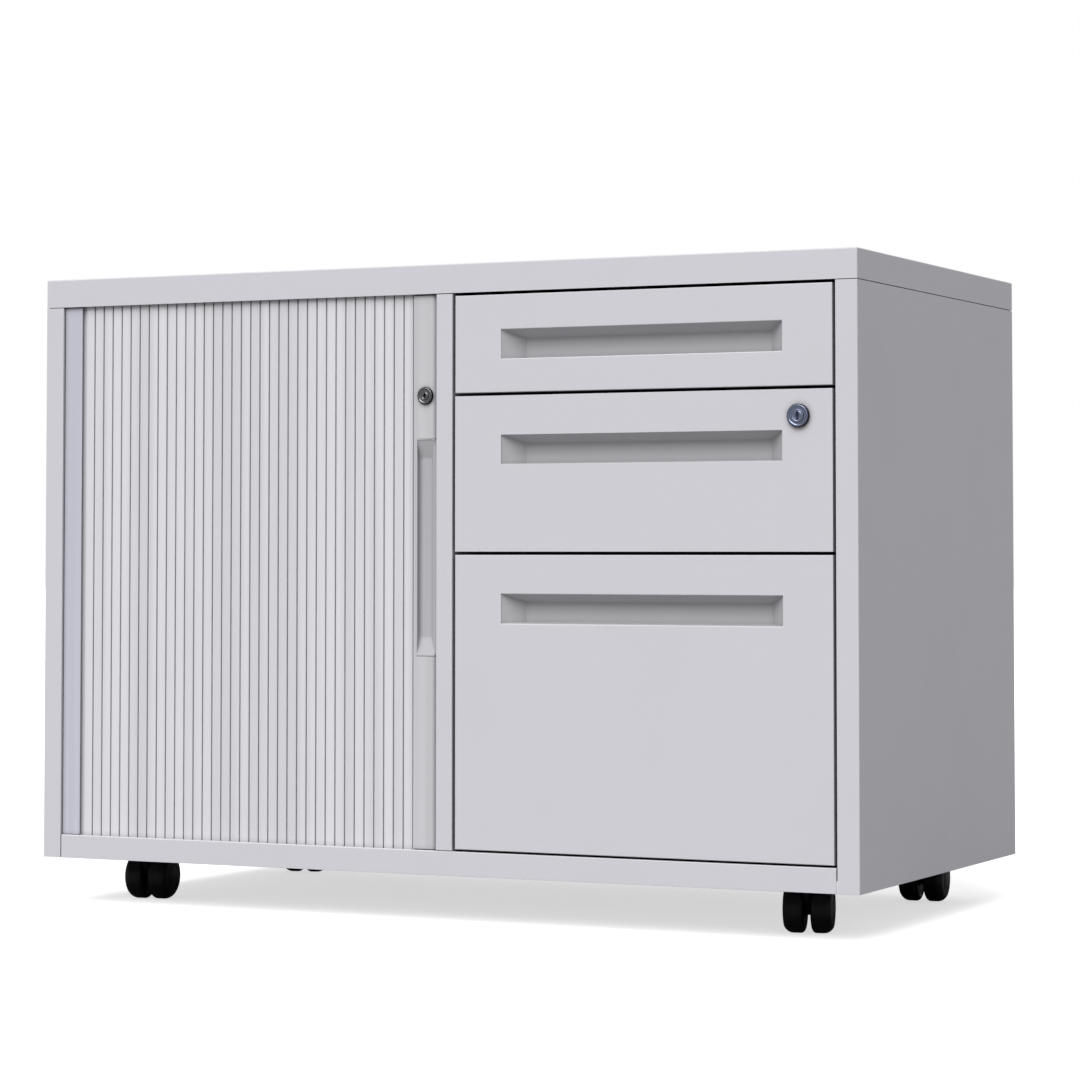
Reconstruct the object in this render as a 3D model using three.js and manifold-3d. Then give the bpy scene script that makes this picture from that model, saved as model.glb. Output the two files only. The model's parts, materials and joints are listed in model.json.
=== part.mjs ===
// Mobile steel storage caddy: a tambour-door cupboard beside a three-drawer pedestal, on twin-wheel casters.
// Millimetres, +Z up, the front faces -Y, and the origin is on the floor under the middle of the whole box.
import * as THREE from "three";
import { mergeVertices } from "three/addons/utils/BufferGeometryUtils.js";
import Module from "manifold-3d";

const wasm = await Module();
wasm.setup();

// ---------------------------------------------------------------- driving dimensions
const WIDTH = 900;
const DEPTH = 470;
const BODY_HEIGHT = 600;
const BODY_BOTTOM = 47.5; // height of the casing above the floor
const SHEET = 1.2; // steel sheet of the casing
const THIN = 1; // steel sheet of the trays
const FIT = 0.3; // clearance between touching pieces
const LOCK_PROUD = 4.5; // the drawer lock stands this far out of the front

const CAP_HEIGHT = 29;
const RAIL_HEIGHT = 24;
const LEFT_POST = 21;
const RIGHT_POST = 22;
const DIVIDER_LEFT = 459; // from the casing's left side to the divider post
const DIVIDER_WIDTH = 18;
const POST_RETURN = 18; // depth of the folds behind the right and divider posts
const CORNER_LIP = 4.5; // the left post's fold is short, so the curtain can turn the corner
const RAIL_LIP = 3.5;
const RAIL_SEAM = 1; // gap between the front rail and each post
const BACK_FLANGE = 20;
const EDGE_FLANGE = 15;
const FLOOR_RISE = 13; // from the casing's lower edge to the top of its floor sheet
const LINER_INSET = 26; // the stored curtain runs between the left side and a liner

const REVEAL = 3; // gap round each drawer front
const FRONT_HEIGHTS = [96, 152.5, 287.5]; // from the top drawer down
const FRONT_DEPTH = 24;
const GRIP_WIDTH = 294;
const GRIP_HEIGHT = 28.6;
const GRIP_DEPTH = 19;
const GRIP_TAPER = 18; // each end of a grip slopes in by this much over its depth
const GRIP_CEILING = 8; // and its ceiling slopes down by this much
const GRIP_SILL = 1; // and its sill slopes up
const GRIP_DROPS = [34.4, 38.5, 38.2]; // from the top of each front to its grip
const TRAY_HEIGHTS = [58, 84, 215];
const TRAY_LENGTH = 405;
const TRAY_RISE = 5; // from the bottom of a front to its tray
const SIDE_SPACE = 12.4; // room for a slide beside a tray
const SLIDE_START = 40;
const SLIDE_LENGTH = 400;
const SLIDE_RISE = 22; // from the bottom of a tray to the middle of its slides

const SLAT_FRONT = 5.1; // the curtain's face lies this far behind the front
const SLAT_DEPTH = 8;
const SLAT_COUNT = 35;
const CURTAIN_LEFT = 45.3;
const STRIP_RIGHT = 42.2;
const STRIP_FRONT = 3.2; // the corner strip lies this far behind the front
const CURTAIN_RIGHT = 432;
const PROFILE_LEFT = 432.4;
const PROFILE_RIGHT = 458.6;
const PROFILE_FRONT = 3.3;
const PROFILE_DEPTH = 17;
const PROFILE_ROUND = 8;
const PROFILE_WALL = 1.5;

const CASTER_INSET_X = 80;
const CASTER_INSET_Y = 72;
const WHEEL_RADIUS = 24;
const WHEEL_TRAIL = 17; // from the swivel's axis back to the axle
const WHEEL_INNER = 3.3; // from a caster's middle to each wheel's inner face
const WHEEL_OUTER = 25;
const WHEEL_GAP = 0.6; // from a wheel to the web between the wheels
const CASTER_TURNS = { front_left: 8, front_right: 14, back_left: 12, back_right: 6 }; // degrees

const LEFT = -WIDTH / 2;
const RIGHT = WIDTH / 2;
const FRONT = -(DEPTH - LOCK_PROUD) / 2;
const BACK = FRONT + DEPTH;
const TOP = BODY_BOTTOM + BODY_HEIGHT;
const CAP_BOTTOM = TOP - CAP_HEIGHT;
const SEAM = CAP_BOTTOM - 0.7; // top of the panels that stand under the cap
const WALL_TOP = SEAM - 2; // top of the walls between the sides' flanges
const TONGUE_RISE = 6; // how far the back reaches up inside the cap
const RAIL_TOP = BODY_BOTTOM + RAIL_HEIGHT;
const POST_LEFT = LEFT + LEFT_POST;
const POST_RIGHT = RIGHT - RIGHT_POST;
const DIVIDER = LEFT + DIVIDER_LEFT;
const BAY_LEFT = DIVIDER + DIVIDER_WIDTH;
const BAY_RIGHT = POST_RIGHT;
const BAY_MIDDLE = (BAY_LEFT + BAY_RIGHT) / 2;
const BAY_HALF = (BAY_RIGHT - BAY_LEFT) / 2;
const FLOOR_TOP = BODY_BOTTOM + FLOOR_RISE;
const FLOOR_BOTTOM = FLOOR_TOP - SHEET;
const INNER_BACK = BACK - 3.3; // nothing inside the casing reaches past the back panel

// ---------------------------------------------------------------- materials
function finish(color, roughness, metalness) {
  return new THREE.MeshStandardMaterial({ color, roughness, metalness });
}

const PAINT = finish(0xd4d3d9, 0.45, 0.1);
const PLASTIC = finish(0xdddce1, 0.5, 0);
const STRIP = finish(0xc6c6d2, 0.5, 0);
const GRIP = finish(0xb9b9be, 0.5, 0);
const ZINC = finish(0xb4b6ba, 0.35, 0.9);
const LOCK = finish(0x5f6473, 0.3, 0.9);
const BLACK = finish(0x0c0c0c, 0.45, 0);

// ---------------------------------------------------------------- solids
// Coordinates are rounded to a micron, so that faces that are meant to be flush are exactly flush.
function solidOf(geometry) {
  const bare = geometry.clone();
  bare.deleteAttribute("normal");
  bare.deleteAttribute("uv");
  const merged = mergeVertices(bare, 1e-4);
  return new wasm.Manifold(
    new wasm.Mesh({
      numProp: 3,
      vertProperties: merged.attributes.position.array.map((value) => Math.round(value * 1000) / 1000),
      triVerts: new Uint32Array(merged.index.array),
    }),
  );
}

function union(...solids) {
  return solids.reduce((all, one) => all.add(one));
}

// A block between two values on each axis, given in either order.
function block(xs, ys, zs) {
  const size = [xs, ys, zs].map(([a, b]) => Math.abs(b - a));
  const middle = [xs, ys, zs].map(([a, b]) => (a + b) / 2);
  return solidOf(new THREE.BoxGeometry(...size).translate(...middle));
}

function outline(points) {
  return new THREE.Shape(points.map(([a, b]) => new THREE.Vector2(a, b)));
}

// The outline of a C: its back lies at one value of the first axis, and both flanges reach to another.
function channel([back, tip], [low, high], thickness) {
  const inner = back + Math.sign(tip - back) * thickness;
  return outline([
    [back, low],
    [tip, low],
    [tip, low + thickness],
    [inner, low + thickness],
    [inner, high - thickness],
    [tip, high - thickness],
    [tip, high],
    [back, high],
  ]);
}

// An outline in X and Y, raised from one height to another.
function raised(shape, [low, high]) {
  const depth = high - low;
  return solidOf(
    new THREE.ExtrudeGeometry(shape, { depth, bevelEnabled: false, curveSegments: 10 }).translate(0, 0, low),
  );
}

// An outline in Y and Z, drawn out along X.
function acrossX(shape, [low, high]) {
  const depth = high - low;
  const turn = new THREE.Matrix4().makeBasis(
    new THREE.Vector3(0, 1, 0),
    new THREE.Vector3(0, 0, 1),
    new THREE.Vector3(1, 0, 0),
  );
  const geometry = new THREE.ExtrudeGeometry(shape, { depth, bevelEnabled: false, curveSegments: 10 });
  return solidOf(geometry.applyMatrix4(turn).translate(low, 0, 0));
}

// An outline in X and Z, drawn out along Y.
function acrossY(shape, [low, high]) {
  const depth = high - low;
  const geometry = new THREE.ExtrudeGeometry(shape, { depth, bevelEnabled: false, curveSegments: 10 });
  return solidOf(geometry.rotateX(Math.PI / 2).translate(0, high, 0));
}

function rodX(radius, [low, high], y, z, sides = 24) {
  const geometry = new THREE.CylinderGeometry(radius, radius, high - low, sides);
  return solidOf(geometry.rotateZ(Math.PI / 2).translate((low + high) / 2, y, z));
}

function rodY(radius, [low, high], x, z, sides = 28) {
  const geometry = new THREE.CylinderGeometry(radius, radius, high - low, sides);
  return solidOf(geometry.translate(x, (low + high) / 2, z));
}

function rodZ(radius, [low, high], x, y, sides = 20) {
  const geometry = new THREE.CylinderGeometry(radius, radius, high - low, sides);
  return solidOf(geometry.rotateX(Math.PI / 2).translate(x, y, (low + high) / 2));
}

function piece(name, solid, material) {
  const mesh = solid.getMesh();
  const geometry = new THREE.BufferGeometry();
  geometry.setAttribute("position", new THREE.BufferAttribute(mesh.vertProperties, 3));
  geometry.setIndex(new THREE.BufferAttribute(mesh.triVerts, 1));
  geometry.computeVertexNormals();
  const node = new THREE.Mesh(geometry, material);
  node.name = name;
  return node;
}

// ---------------------------------------------------------------- casing
function topCap() {
  const outer = block([LEFT, RIGHT], [FRONT, BACK], [CAP_BOTTOM, TOP]);
  const hollow = block(
    [LEFT + SHEET, RIGHT - SHEET],
    [FRONT + SHEET, BACK - SHEET],
    [CAP_BOTTOM - 1, TOP - SHEET],
  );
  return outer.subtract(hollow);
}

// A side with its front post, back flange, and top and bottom flanges; side is -1 or 1, to the left or right.
function sidePanel(side, postWidth, returnDepth) {
  const inward = (distance) => side * (RIGHT - distance);
  const folded = outline([
    [inward(0), FRONT],
    [inward(postWidth), FRONT],
    [inward(postWidth), FRONT + returnDepth],
    [inward(postWidth - SHEET), FRONT + returnDepth],
    [inward(postWidth - SHEET), FRONT + SHEET],
    [inward(SHEET), FRONT + SHEET],
    [inward(SHEET), BACK - SHEET],
    [inward(BACK_FLANGE), BACK - SHEET],
    [inward(BACK_FLANGE), BACK],
    [inward(0), BACK],
  ]);
  const across = [inward(SHEET / 2), inward(EDGE_FLANGE)];
  const run = [FRONT + SHEET / 2, BACK - SHEET / 2];
  return union(
    raised(folded, [BODY_BOTTOM, SEAM]),
    block(across, run, [BODY_BOTTOM, BODY_BOTTOM + SHEET]),
    block(across, run, [SEAM - SHEET, SEAM]),
  );
}

// The back, with a tongue between the sides' flanges that reaches up behind the cap's rim.
function backPanel() {
  const reach = RIGHT - SHEET - 2 * FIT;
  const tongue = RIGHT - EDGE_FLANGE - 1;
  const run = [BACK - SHEET - FIT - SHEET, BACK - SHEET - FIT];
  return union(
    block([-reach, reach], run, [FLOOR_TOP + FIT, WALL_TOP]),
    block([-tongue, tongue], run, [WALL_TOP - 1, CAP_BOTTOM + TONGUE_RISE]),
  );
}

// The floor, with the front rail and back skirt between the posts and a skirt inside each side panel.
function basePan() {
  const between = [POST_LEFT + RAIL_SEAM, POST_RIGHT - RAIL_SEAM];
  const reach = RIGHT - SHEET - 2 * FIT;
  const wings = [FRONT + POST_RETURN + 1, INNER_BACK];
  const skirt = [BODY_BOTTOM + SHEET + FIT, FLOOR_TOP];
  return union(
    block(between, [FRONT, FRONT + SHEET], [BODY_BOTTOM, RAIL_TOP]),
    block(between, [FRONT, FRONT + RAIL_LIP], [RAIL_TOP - SHEET, RAIL_TOP]),
    block(between, [FRONT, BACK], [FLOOR_BOTTOM, FLOOR_TOP]),
    block([-reach, reach], wings, [FLOOR_BOTTOM, FLOOR_TOP]),
    block(between, [BACK - SHEET, BACK], [BODY_BOTTOM, FLOOR_TOP]),
    block([-reach, -reach + SHEET], wings, skirt),
    block([reach - SHEET, reach], wings, skirt),
  );
}

// The post beside the tambour and the wall behind it, with a slot where the tambour's bolt enters.
function dividerPanel() {
  const wall = [BAY_LEFT - SHEET, BAY_LEFT];
  const flange = [BAY_LEFT - EDGE_FLANGE, BAY_LEFT];
  const post = [RAIL_TOP + FIT, SEAM];
  const foot = [FLOOR_TOP + FIT, WALL_TOP];
  const behind = [FRONT + 26, INNER_BACK];
  const body = union(
    block([DIVIDER, BAY_LEFT], [FRONT, FRONT + SHEET], post),
    block([DIVIDER, DIVIDER + SHEET], [FRONT, FRONT + POST_RETURN], post),
    block(wall, [FRONT, FRONT + 30], post),
    block(wall, behind, foot),
    block(flange, behind, [foot[0], foot[0] + SHEET]),
    block(flange, behind, [foot[1] - SHEET, foot[1]]),
  );
  return body.subtract(boltSlot([DIVIDER - 1, DIVIDER + SHEET + 1]));
}

// The inner wall that carries the right-hand drawer slides.
function drawerBayLiner() {
  const reach = [BAY_RIGHT + FIT, RIGHT - SHEET - FIT];
  const run = [FRONT + POST_RETURN + FIT, INNER_BACK];
  return raised(channel(reach, run, SHEET), [FLOOR_TOP + FIT, WALL_TOP]);
}

// The inner wall that hides the stored curtain on the left of the cupboard.
function tambourLiner() {
  const inset = LEFT + LINER_INSET;
  const wall = [inset, inset + SHEET];
  const foot = [inset, inset + 12];
  const run = [FRONT + 25, BACK - 10];
  const height = [FLOOR_TOP + FIT, WALL_TOP];
  return union(
    block(wall, run, height),
    block([LEFT + SHEET + FIT, wall[1]], [run[1] - SHEET, run[1]], height),
    block(foot, run, [height[0], height[0] + SHEET]),
    block(foot, run, [height[1] - SHEET, height[1]]),
  );
}

const SHELF = { top: BODY_BOTTOM + 300, lip: 20, front: 34, back: 4 };

function cupboardShelf() {
  const { top, lip, front, back } = SHELF;
  const across = [LEFT + LINER_INSET + SHEET + 2 * FIT, BAY_LEFT - SHEET - 2 * FIT];
  const run = [FRONT + front, INNER_BACK - back];
  return union(
    block(across, run, [top - SHEET, top]),
    block(across, [run[0], run[0] + SHEET], [top - lip, top]),
    block(across, [run[1] - SHEET, run[1]], [top - lip, top]),
  );
}

// ---------------------------------------------------------------- tambour door
const TAMBOUR_LOCK = { x: LEFT + 446, z: BODY_BOTTOM + 470.5, flange: 8.5, body: 6, plug: 4 };
const BOLT = { reach: 16.5, half: 3.5, thick: 2.2, back: FRONT + 16.5 };
const TRACK_FRONT = FRONT + RAIL_LIP + FIT;
const TRACK_BACK = FRONT + SLAT_FRONT + SLAT_DEPTH + 1.5;
const GROOVE = [FRONT + SLAT_FRONT - 0.5, FRONT + SLAT_FRONT + SLAT_DEPTH + 0.5];
const TRACK_RUN = [POST_LEFT + 2 * FIT, DIVIDER - FIT];
const CURTAIN_HEIGHT = [FLOOR_TOP + 4, CAP_BOTTOM + 6];
const TRACK_FLOOR = 3; // under the bottom groove
const TRACK_LIPS = 9; // height of the top track's lips
const TRACK_CEILING = 2; // over the top groove

function bottomTrack() {
  const body = block(TRACK_RUN, [TRACK_FRONT, TRACK_BACK], [FLOOR_TOP + FIT, RAIL_TOP - FIT]);
  return body.subtract(block([LEFT, RIGHT], GROOVE, [FLOOR_TOP + TRACK_FLOOR, RAIL_TOP]));
}

function topTrack() {
  const body = union(
    block(TRACK_RUN, [TRACK_FRONT, TRACK_BACK], [CAP_BOTTOM + FIT, CAP_BOTTOM + TRACK_LIPS]),
    block(TRACK_RUN, [TRACK_BACK - SHEET, TRACK_BACK], [CAP_BOTTOM + FIT, TOP - SHEET - FIT]),
  );
  const top = CAP_BOTTOM + TRACK_LIPS - TRACK_CEILING;
  return body.subtract(block([LEFT, RIGHT], GROOVE, [CAP_BOTTOM, top]));
}

function guideStrip() {
  const across = [POST_LEFT + 2 * FIT, LEFT + STRIP_RIGHT];
  return block(across, [FRONT + STRIP_FRONT, FRONT + STRIP_FRONT + 1.5], [RAIL_TOP + FIT, SEAM]);
}

// The room that the bolt swings through, between two values across the door. Its corner sweeps lowest below the
// lock's axis.
function boltSlot(across) {
  const swept = Math.hypot(BOLT.reach, BOLT.half);
  const nearest = Math.min(...across.map((x) => Math.abs(x - TAMBOUR_LOCK.x))) + 1;
  const below = Math.sqrt(swept ** 2 - nearest ** 2) + FIT;
  const run = [BOLT.back - BOLT.thick - 2 * FIT, BOLT.back + 2 * FIT];
  return block(across, run, [TAMBOUR_LOCK.z - below, TAMBOUR_LOCK.z + BOLT.half + 2 * FIT]);
}

const SLAT_GROOVE = { depth: 1.5, width: 1.2 };
const FIRST_WEB = 2.6; // the web that runs from the first slat towards the corner strip

// The closed curtain: one sheet with a groove between each slat and the next.
function curtain() {
  const { depth, width } = SLAT_GROOVE;
  const [left, right] = [LEFT + CURTAIN_LEFT, LEFT + CURTAIN_RIGHT];
  const pitch = (right - left) / SLAT_COUNT;
  const face = FRONT + SLAT_FRONT;
  const back = face + SLAT_DEPTH;
  const web = left - FIRST_WEB;
  const points = [[web, back], [web, face + depth], [left, face + depth], [left, face]];
  for (let i = 1; i < SLAT_COUNT; i++) {
    const x = left + i * pitch;
    points.push([x - width / 2, face], [x, face + depth], [x + width / 2, face]);
  }
  points.push([right, face], [right, back]);
  return raised(outline(points), CURTAIN_HEIGHT);
}

// The leading profile's outline, its front right edge rounded, set in by some distance all round.
function profileOutline(inset) {
  const left = LEFT + PROFILE_LEFT + inset;
  const right = LEFT + PROFILE_RIGHT - inset;
  const front = FRONT + PROFILE_FRONT + inset;
  const back = FRONT + PROFILE_FRONT + PROFILE_DEPTH - inset;
  const radius = PROFILE_ROUND - inset;
  const shape = new THREE.Shape();
  shape.moveTo(left, front);
  shape.lineTo(right - radius, front);
  shape.absarc(right - radius, front + radius, radius, -Math.PI / 2, 0, false);
  shape.lineTo(right, back);
  shape.lineTo(left, back);
  shape.closePath();
  return shape;
}

const TAMBOUR_GRIP = {
  across: [LEFT + 436.2, LEFT + 457.3],
  height: [BODY_BOTTOM + 213.5, BODY_BOTTOM + 428],
  slope: 18, // length of the sloping ends
  ramp: 9.4, // the right side slopes in by this much,
  lead: 2.3, // from a line that lies this far outside the rim, in front of the rounded corner
  hook: 2.4, // and the left side undercuts the rim
  depth: 6,
  wall: 1,
};
const PROFILE_HEIGHT = [RAIL_TOP + 0.8, CAP_BOTTOM - 1.2];

function endProfile() {
  const tube = raised(profileOutline(0), PROFILE_HEIGHT).subtract(
    raised(profileOutline(PROFILE_WALL), [PROFILE_HEIGHT[0] - 1, PROFILE_HEIGHT[1] + 1]),
  );
  const { x, z, body } = TAMBOUR_LOCK;
  const front = [FRONT, FRONT + PROFILE_FRONT + 8];
  const pocket = block(TAMBOUR_GRIP.across, [FRONT, FRONT + PROFILE_FRONT + 5], TAMBOUR_GRIP.height);
  const lockHole = rodY(body + FIT, front, x, z);
  const right = LEFT + PROFILE_RIGHT;
  return tube.subtract(pocket).subtract(lockHole).subtract(boltSlot([right - PROFILE_WALL - 1, right + 1]));
}

// The finger pull let into the leading profile: a pocket with sloping ends, a ramp on the right and a hook on
// the left.
function tambourGrip() {
  const { across, height, slope, ramp, lead, hook, depth, wall } = TAMBOUR_GRIP;
  const [left, right] = [across[0] + FIT, across[1] - FIT];
  const [low, high] = [height[0] + FIT, height[1] - FIT];
  const face = FRONT + PROFILE_FRONT;
  const hookRoom = (hook * PROFILE_WALL) / depth;
  const pocket = (grown, depths) =>
    wasm.Manifold.hull(
      depths.flatMap((deep) => {
        const share = deep / depth;
        const xs = [left + hookRoom + wall - grown - hook * share, right + lead + grown - ramp * share];
        const zs = [low + wall - grown + slope * share, high - wall + grown - slope * share];
        return xs.flatMap((x) => zs.map((z) => [x, face + deep, z]));
      }),
    );
  const rim = block([left, right], [face, face + 4], [low, high]);
  const room = block([LEFT + PROFILE_LEFT, right], [face, face + depth + wall], [low, high]);
  const shell = union(pocket(wall, [0, depth + wall]).intersect(room), rim);
  return shell.intersect(raised(profileOutline(0), [low, high])).subtract(pocket(0, [-1, depth]));
}

function tambourLockBarrel() {
  const { x, z, flange, body, plug } = TAMBOUR_LOCK;
  return union(
    rodY(flange, [FRONT + 0.3, FRONT + 3], x, z),
    rodY(body, [FRONT + 2.5, FRONT + 14], x, z),
  ).subtract(rodY(plug + FIT, [FRONT - 1, FRONT + 15], x, z));
}

// The tambour lock's plug with its keyway and its swinging bolt, which hangs down when the door is unlocked.
function tambourLockPlug() {
  const { x, z, plug } = TAMBOUR_LOCK;
  const { reach, half, thick, back } = BOLT;
  const bolt = block([x - half, x + half], [back - thick, back], [z - reach, z + half]);
  const keyway = block([x - 0.8, x + 0.8], [FRONT - 1, FRONT + 6], [z - 3, z + 3]);
  return union(rodY(plug, [FRONT + 0.1, back - 1], x, z), bolt).subtract(keyway);
}

// ---------------------------------------------------------------- drawers
// Each is in a group at the lower middle of its front.
const DRAWER_LOCK = { x: 164, z: 127.4, flange: 11, body: 8.5, plug: 6 };
const CAM = { reach: 30, half: 5, run: [FRONT_DEPTH + 1.5, FRONT_DEPTH + 3.5] };
const FRONT_HALF = BAY_HALF - REVEAL;
const TRAY_HALF = BAY_HALF - SIDE_SPACE;
const TRAY_FRONT = FRONT_DEPTH + FIT;

function frontBottom(index) {
  const above = FRONT_HEIGHTS.slice(0, index + 1).reduce((sum, height) => sum + height + REVEAL, 0);
  return CAP_BOTTOM - above;
}

// A double-skinned drawer front: a folded pan with its back plate, open at the grip and at the lock.
function drawerFront(index) {
  const height = FRONT_HEIGHTS[index];
  const top = height - GRIP_DROPS[index];
  const shell = block([-FRONT_HALF, FRONT_HALF], [0, FRONT_DEPTH], [0, height]).subtract(
    block([SHEET - FRONT_HALF, FRONT_HALF - SHEET], [SHEET, FRONT_DEPTH - SHEET], [SHEET, height - SHEET]),
  );
  const opening = block([-GRIP_WIDTH / 2, GRIP_WIDTH / 2], [-1, SHEET + 1], [top - GRIP_HEIGHT, top]);
  const open = shell.subtract(opening);
  if (index !== 1) return open;
  const { x, z, body } = DRAWER_LOCK;
  return open.subtract(rodY(body + FIT, [-1, FRONT_DEPTH + 1], x, z));
}

// The finger pull behind the front's opening: a pan that narrows to the back, with a flange all round.
function drawerGrip(index) {
  const top = FRONT_HEIGHTS[index] - GRIP_DROPS[index];
  const low = top - GRIP_HEIGHT;
  const face = SHEET + FIT;
  const flange = 8;
  const half = GRIP_WIDTH / 2;
  const pan = (grown, depths) =>
    wasm.Manifold.hull(
      depths.flatMap((depth) => {
        const share = depth / GRIP_DEPTH;
        const side = half + grown - GRIP_TAPER * share;
        const zs = [low - grown + GRIP_SILL * share, top + grown - GRIP_CEILING * share];
        return zs.flatMap((z) => [[-side, face + depth, z], [side, face + depth, z]]);
      }),
    );
  const plate = block([-half - flange, half + flange], [face, face + THIN], [low - flange, top + flange]);
  return union(pan(THIN, [0, GRIP_DEPTH + THIN]), plate).subtract(pan(0, [-1, GRIP_DEPTH]));
}

function drawerTray(index) {
  const height = TRAY_HEIGHTS[index];
  const low = TRAY_RISE;
  const back = TRAY_FRONT + TRAY_LENGTH;
  const inside = TRAY_HALF - THIN;
  const shell = block([-TRAY_HALF, TRAY_HALF], [TRAY_FRONT, back], [low, low + height]).subtract(
    block([-inside, inside], [TRAY_FRONT + THIN, back - THIN], [low + THIN, low + height + 1]),
  );
  if (index !== 2) return shell;
  const rail = { width: 4, height: 12 }; // the thickened side edges that carry hanging files
  const rails = [-1, 1].map((side) =>
    block(
      [side * TRAY_HALF, side * (TRAY_HALF - rail.width)],
      [TRAY_FRONT, back],
      [low + height - rail.height, low + height],
    ),
  );
  return union(shell, ...rails);
}

// A C-shaped slide member beside the tray; side is -1 or 1. The C reaches from one distance off the bay's wall
// to another, the first being its back.
function slideMember(side, { reach, half }, run, z) {
  const across = reach.map((distance) => side * (BAY_HALF - distance));
  return acrossY(channel(across, [z - half, z + half], SHEET), run);
}

const OUTER_MEMBER = { reach: [0.3, 9.5], half: 18 };
const MIDDLE_MEMBER = { reach: [2.5, 10.4], half: 16 };
const INNER_MEMBER = { reach: [12.1, 4.6], half: 14 };
const SLIDE_RUN = [SLIDE_START, SLIDE_START + SLIDE_LENGTH];
const INNER_RUN = [SLIDE_START, TRAY_FRONT + TRAY_LENGTH];

function drawerLockBarrel() {
  const { x, z, flange, body, plug } = DRAWER_LOCK;
  return union(
    rodY(flange, [0.3 - LOCK_PROUD, -FIT], x, z),
    rodY(body, [-FIT - 0.5, FRONT_DEPTH + 0.6], x, z),
  ).subtract(rodY(plug + FIT, [-LOCK_PROUD - 1, FRONT_DEPTH + 2], x, z));
}

function drawerLockPlug() {
  const { x, z, plug } = DRAWER_LOCK;
  const keyway = block([x - 1, x + 1], [-LOCK_PROUD - 1, 3], [z - 4.2, z + 4.2]);
  return rodY(plug, [-LOCK_PROUD, FRONT_DEPTH + 1.2], x, z).subtract(keyway);
}

// The cam on the plug's tail, which hangs down when the drawers are unlocked.
function drawerLockCam() {
  const { x, z } = DRAWER_LOCK;
  const { reach, half, run } = CAM;
  const shape = new THREE.Shape();
  shape.moveTo(x + half, z - reach);
  shape.lineTo(x + half, z);
  shape.absarc(x, z, half, 0, Math.PI, false);
  shape.lineTo(x - half, z - reach);
  shape.closePath();
  return acrossY(shape, run);
}

const LOCK_BAR = {
  right: BAY_RIGHT - 0.4,
  thick: 1.6,
  wide: 12,
  end: 12, // from the floor to its lower end
  top: 20, // from the sides' upper edge to its upper end
  lug: { reach: 9.6, wide: 4, height: 8, drop: 3.9 }, // its lower side is this far below the lock's axis
};

// The upright bar beside the drawers, which the cam lifts by the lug that stands out over it.
function lockBar() {
  const { right, thick, wide, end, top, lug } = LOCK_BAR;
  const front = FRONT + FRONT_DEPTH + 1;
  const low = frontBottom(1) + DRAWER_LOCK.z - lug.drop;
  return union(
    block([right - thick, right], [front, front + wide], [FLOOR_TOP + end, SEAM - top]),
    block([right - lug.reach, right - thick / 2], [front, front + lug.wide], [low, low + lug.height]),
  );
}

function drawerGroup(index) {
  const name = `drawer_${index + 1}`;
  const slideZ = TRAY_RISE + SLIDE_RISE;
  const group = new THREE.Group();
  group.position.set(BAY_MIDDLE, FRONT, frontBottom(index));
  group.add(
    piece(`${name}_front`, drawerFront(index), PAINT),
    piece(`${name}_grip`, drawerGrip(index), GRIP),
    piece(`${name}_tray`, drawerTray(index), PAINT),
  );
  const members = { outer: [OUTER_MEMBER, SLIDE_RUN], inner: [INNER_MEMBER, INNER_RUN] };
  if (index === 2) members.middle = [MIDDLE_MEMBER, SLIDE_RUN];
  for (const [side, word] of [[-1, "left"], [1, "right"]]) {
    for (const [kind, [member, run]] of Object.entries(members)) {
      group.add(piece(`${name}_${kind}_slide_${word}`, slideMember(side, member, run, slideZ), ZINC));
    }
  }
  if (index === 1) {
    group.add(
      piece("drawer_lock_barrel", drawerLockBarrel(), LOCK),
      piece("drawer_lock_plug", drawerLockPlug(), LOCK),
      piece("drawer_lock_cam", drawerLockCam(), ZINC),
    );
  }
  return group;
}

// ---------------------------------------------------------------- casters
// Each is in a group at the foot of its swivel's axis.
const STEM_RADIUS = 4;
const PLATE_TOP = FLOOR_BOTTOM - FIT;
const PLATE_BOTTOM = PLATE_TOP - 2.2;
const PLATE_WIDTH = 50;
const BOSS = { radius: 11, bottom: 49, top: PLATE_BOTTOM - 0.5, floor: 1.2 };
const AXLE_RADIUS = 3;
const AXLE_END = WHEEL_OUTER - 6;

function casterPlate() {
  const half = PLATE_WIDTH / 2;
  return union(
    block([-half, half], [-half, half], [PLATE_BOTTOM, PLATE_TOP]),
    rodZ(STEM_RADIUS, [BOSS.bottom + BOSS.floor + FIT, PLATE_BOTTOM + 1], 0, 0),
  );
}

// The swivel body: a boss round the stem, a web between the wheels and the axle that carries them.
function casterHousing() {
  const web = WHEEL_INNER - WHEEL_GAP;
  const boss = rodZ(BOSS.radius, [BOSS.bottom, BOSS.top], 0, 0).subtract(
    rodZ(STEM_RADIUS + FIT, [BOSS.bottom + BOSS.floor, PLATE_BOTTOM], 0, 0),
  );
  const shape = outline([
    [-7, BOSS.bottom + 1],
    [-7, 42],
    [WHEEL_TRAIL - 11, 22],
    [WHEEL_TRAIL - 4, 17.5],
    [WHEEL_TRAIL + 4, 17.5],
    [WHEEL_TRAIL + 11, 23],
    [WHEEL_TRAIL + 11, 35],
    [9, BOSS.bottom + 1],
  ]);
  return union(
    boss,
    acrossX(shape, [-web, web]),
    rodX(AXLE_RADIUS, [-AXLE_END, AXLE_END], WHEEL_TRAIL, WHEEL_RADIUS),
  );
}

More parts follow.
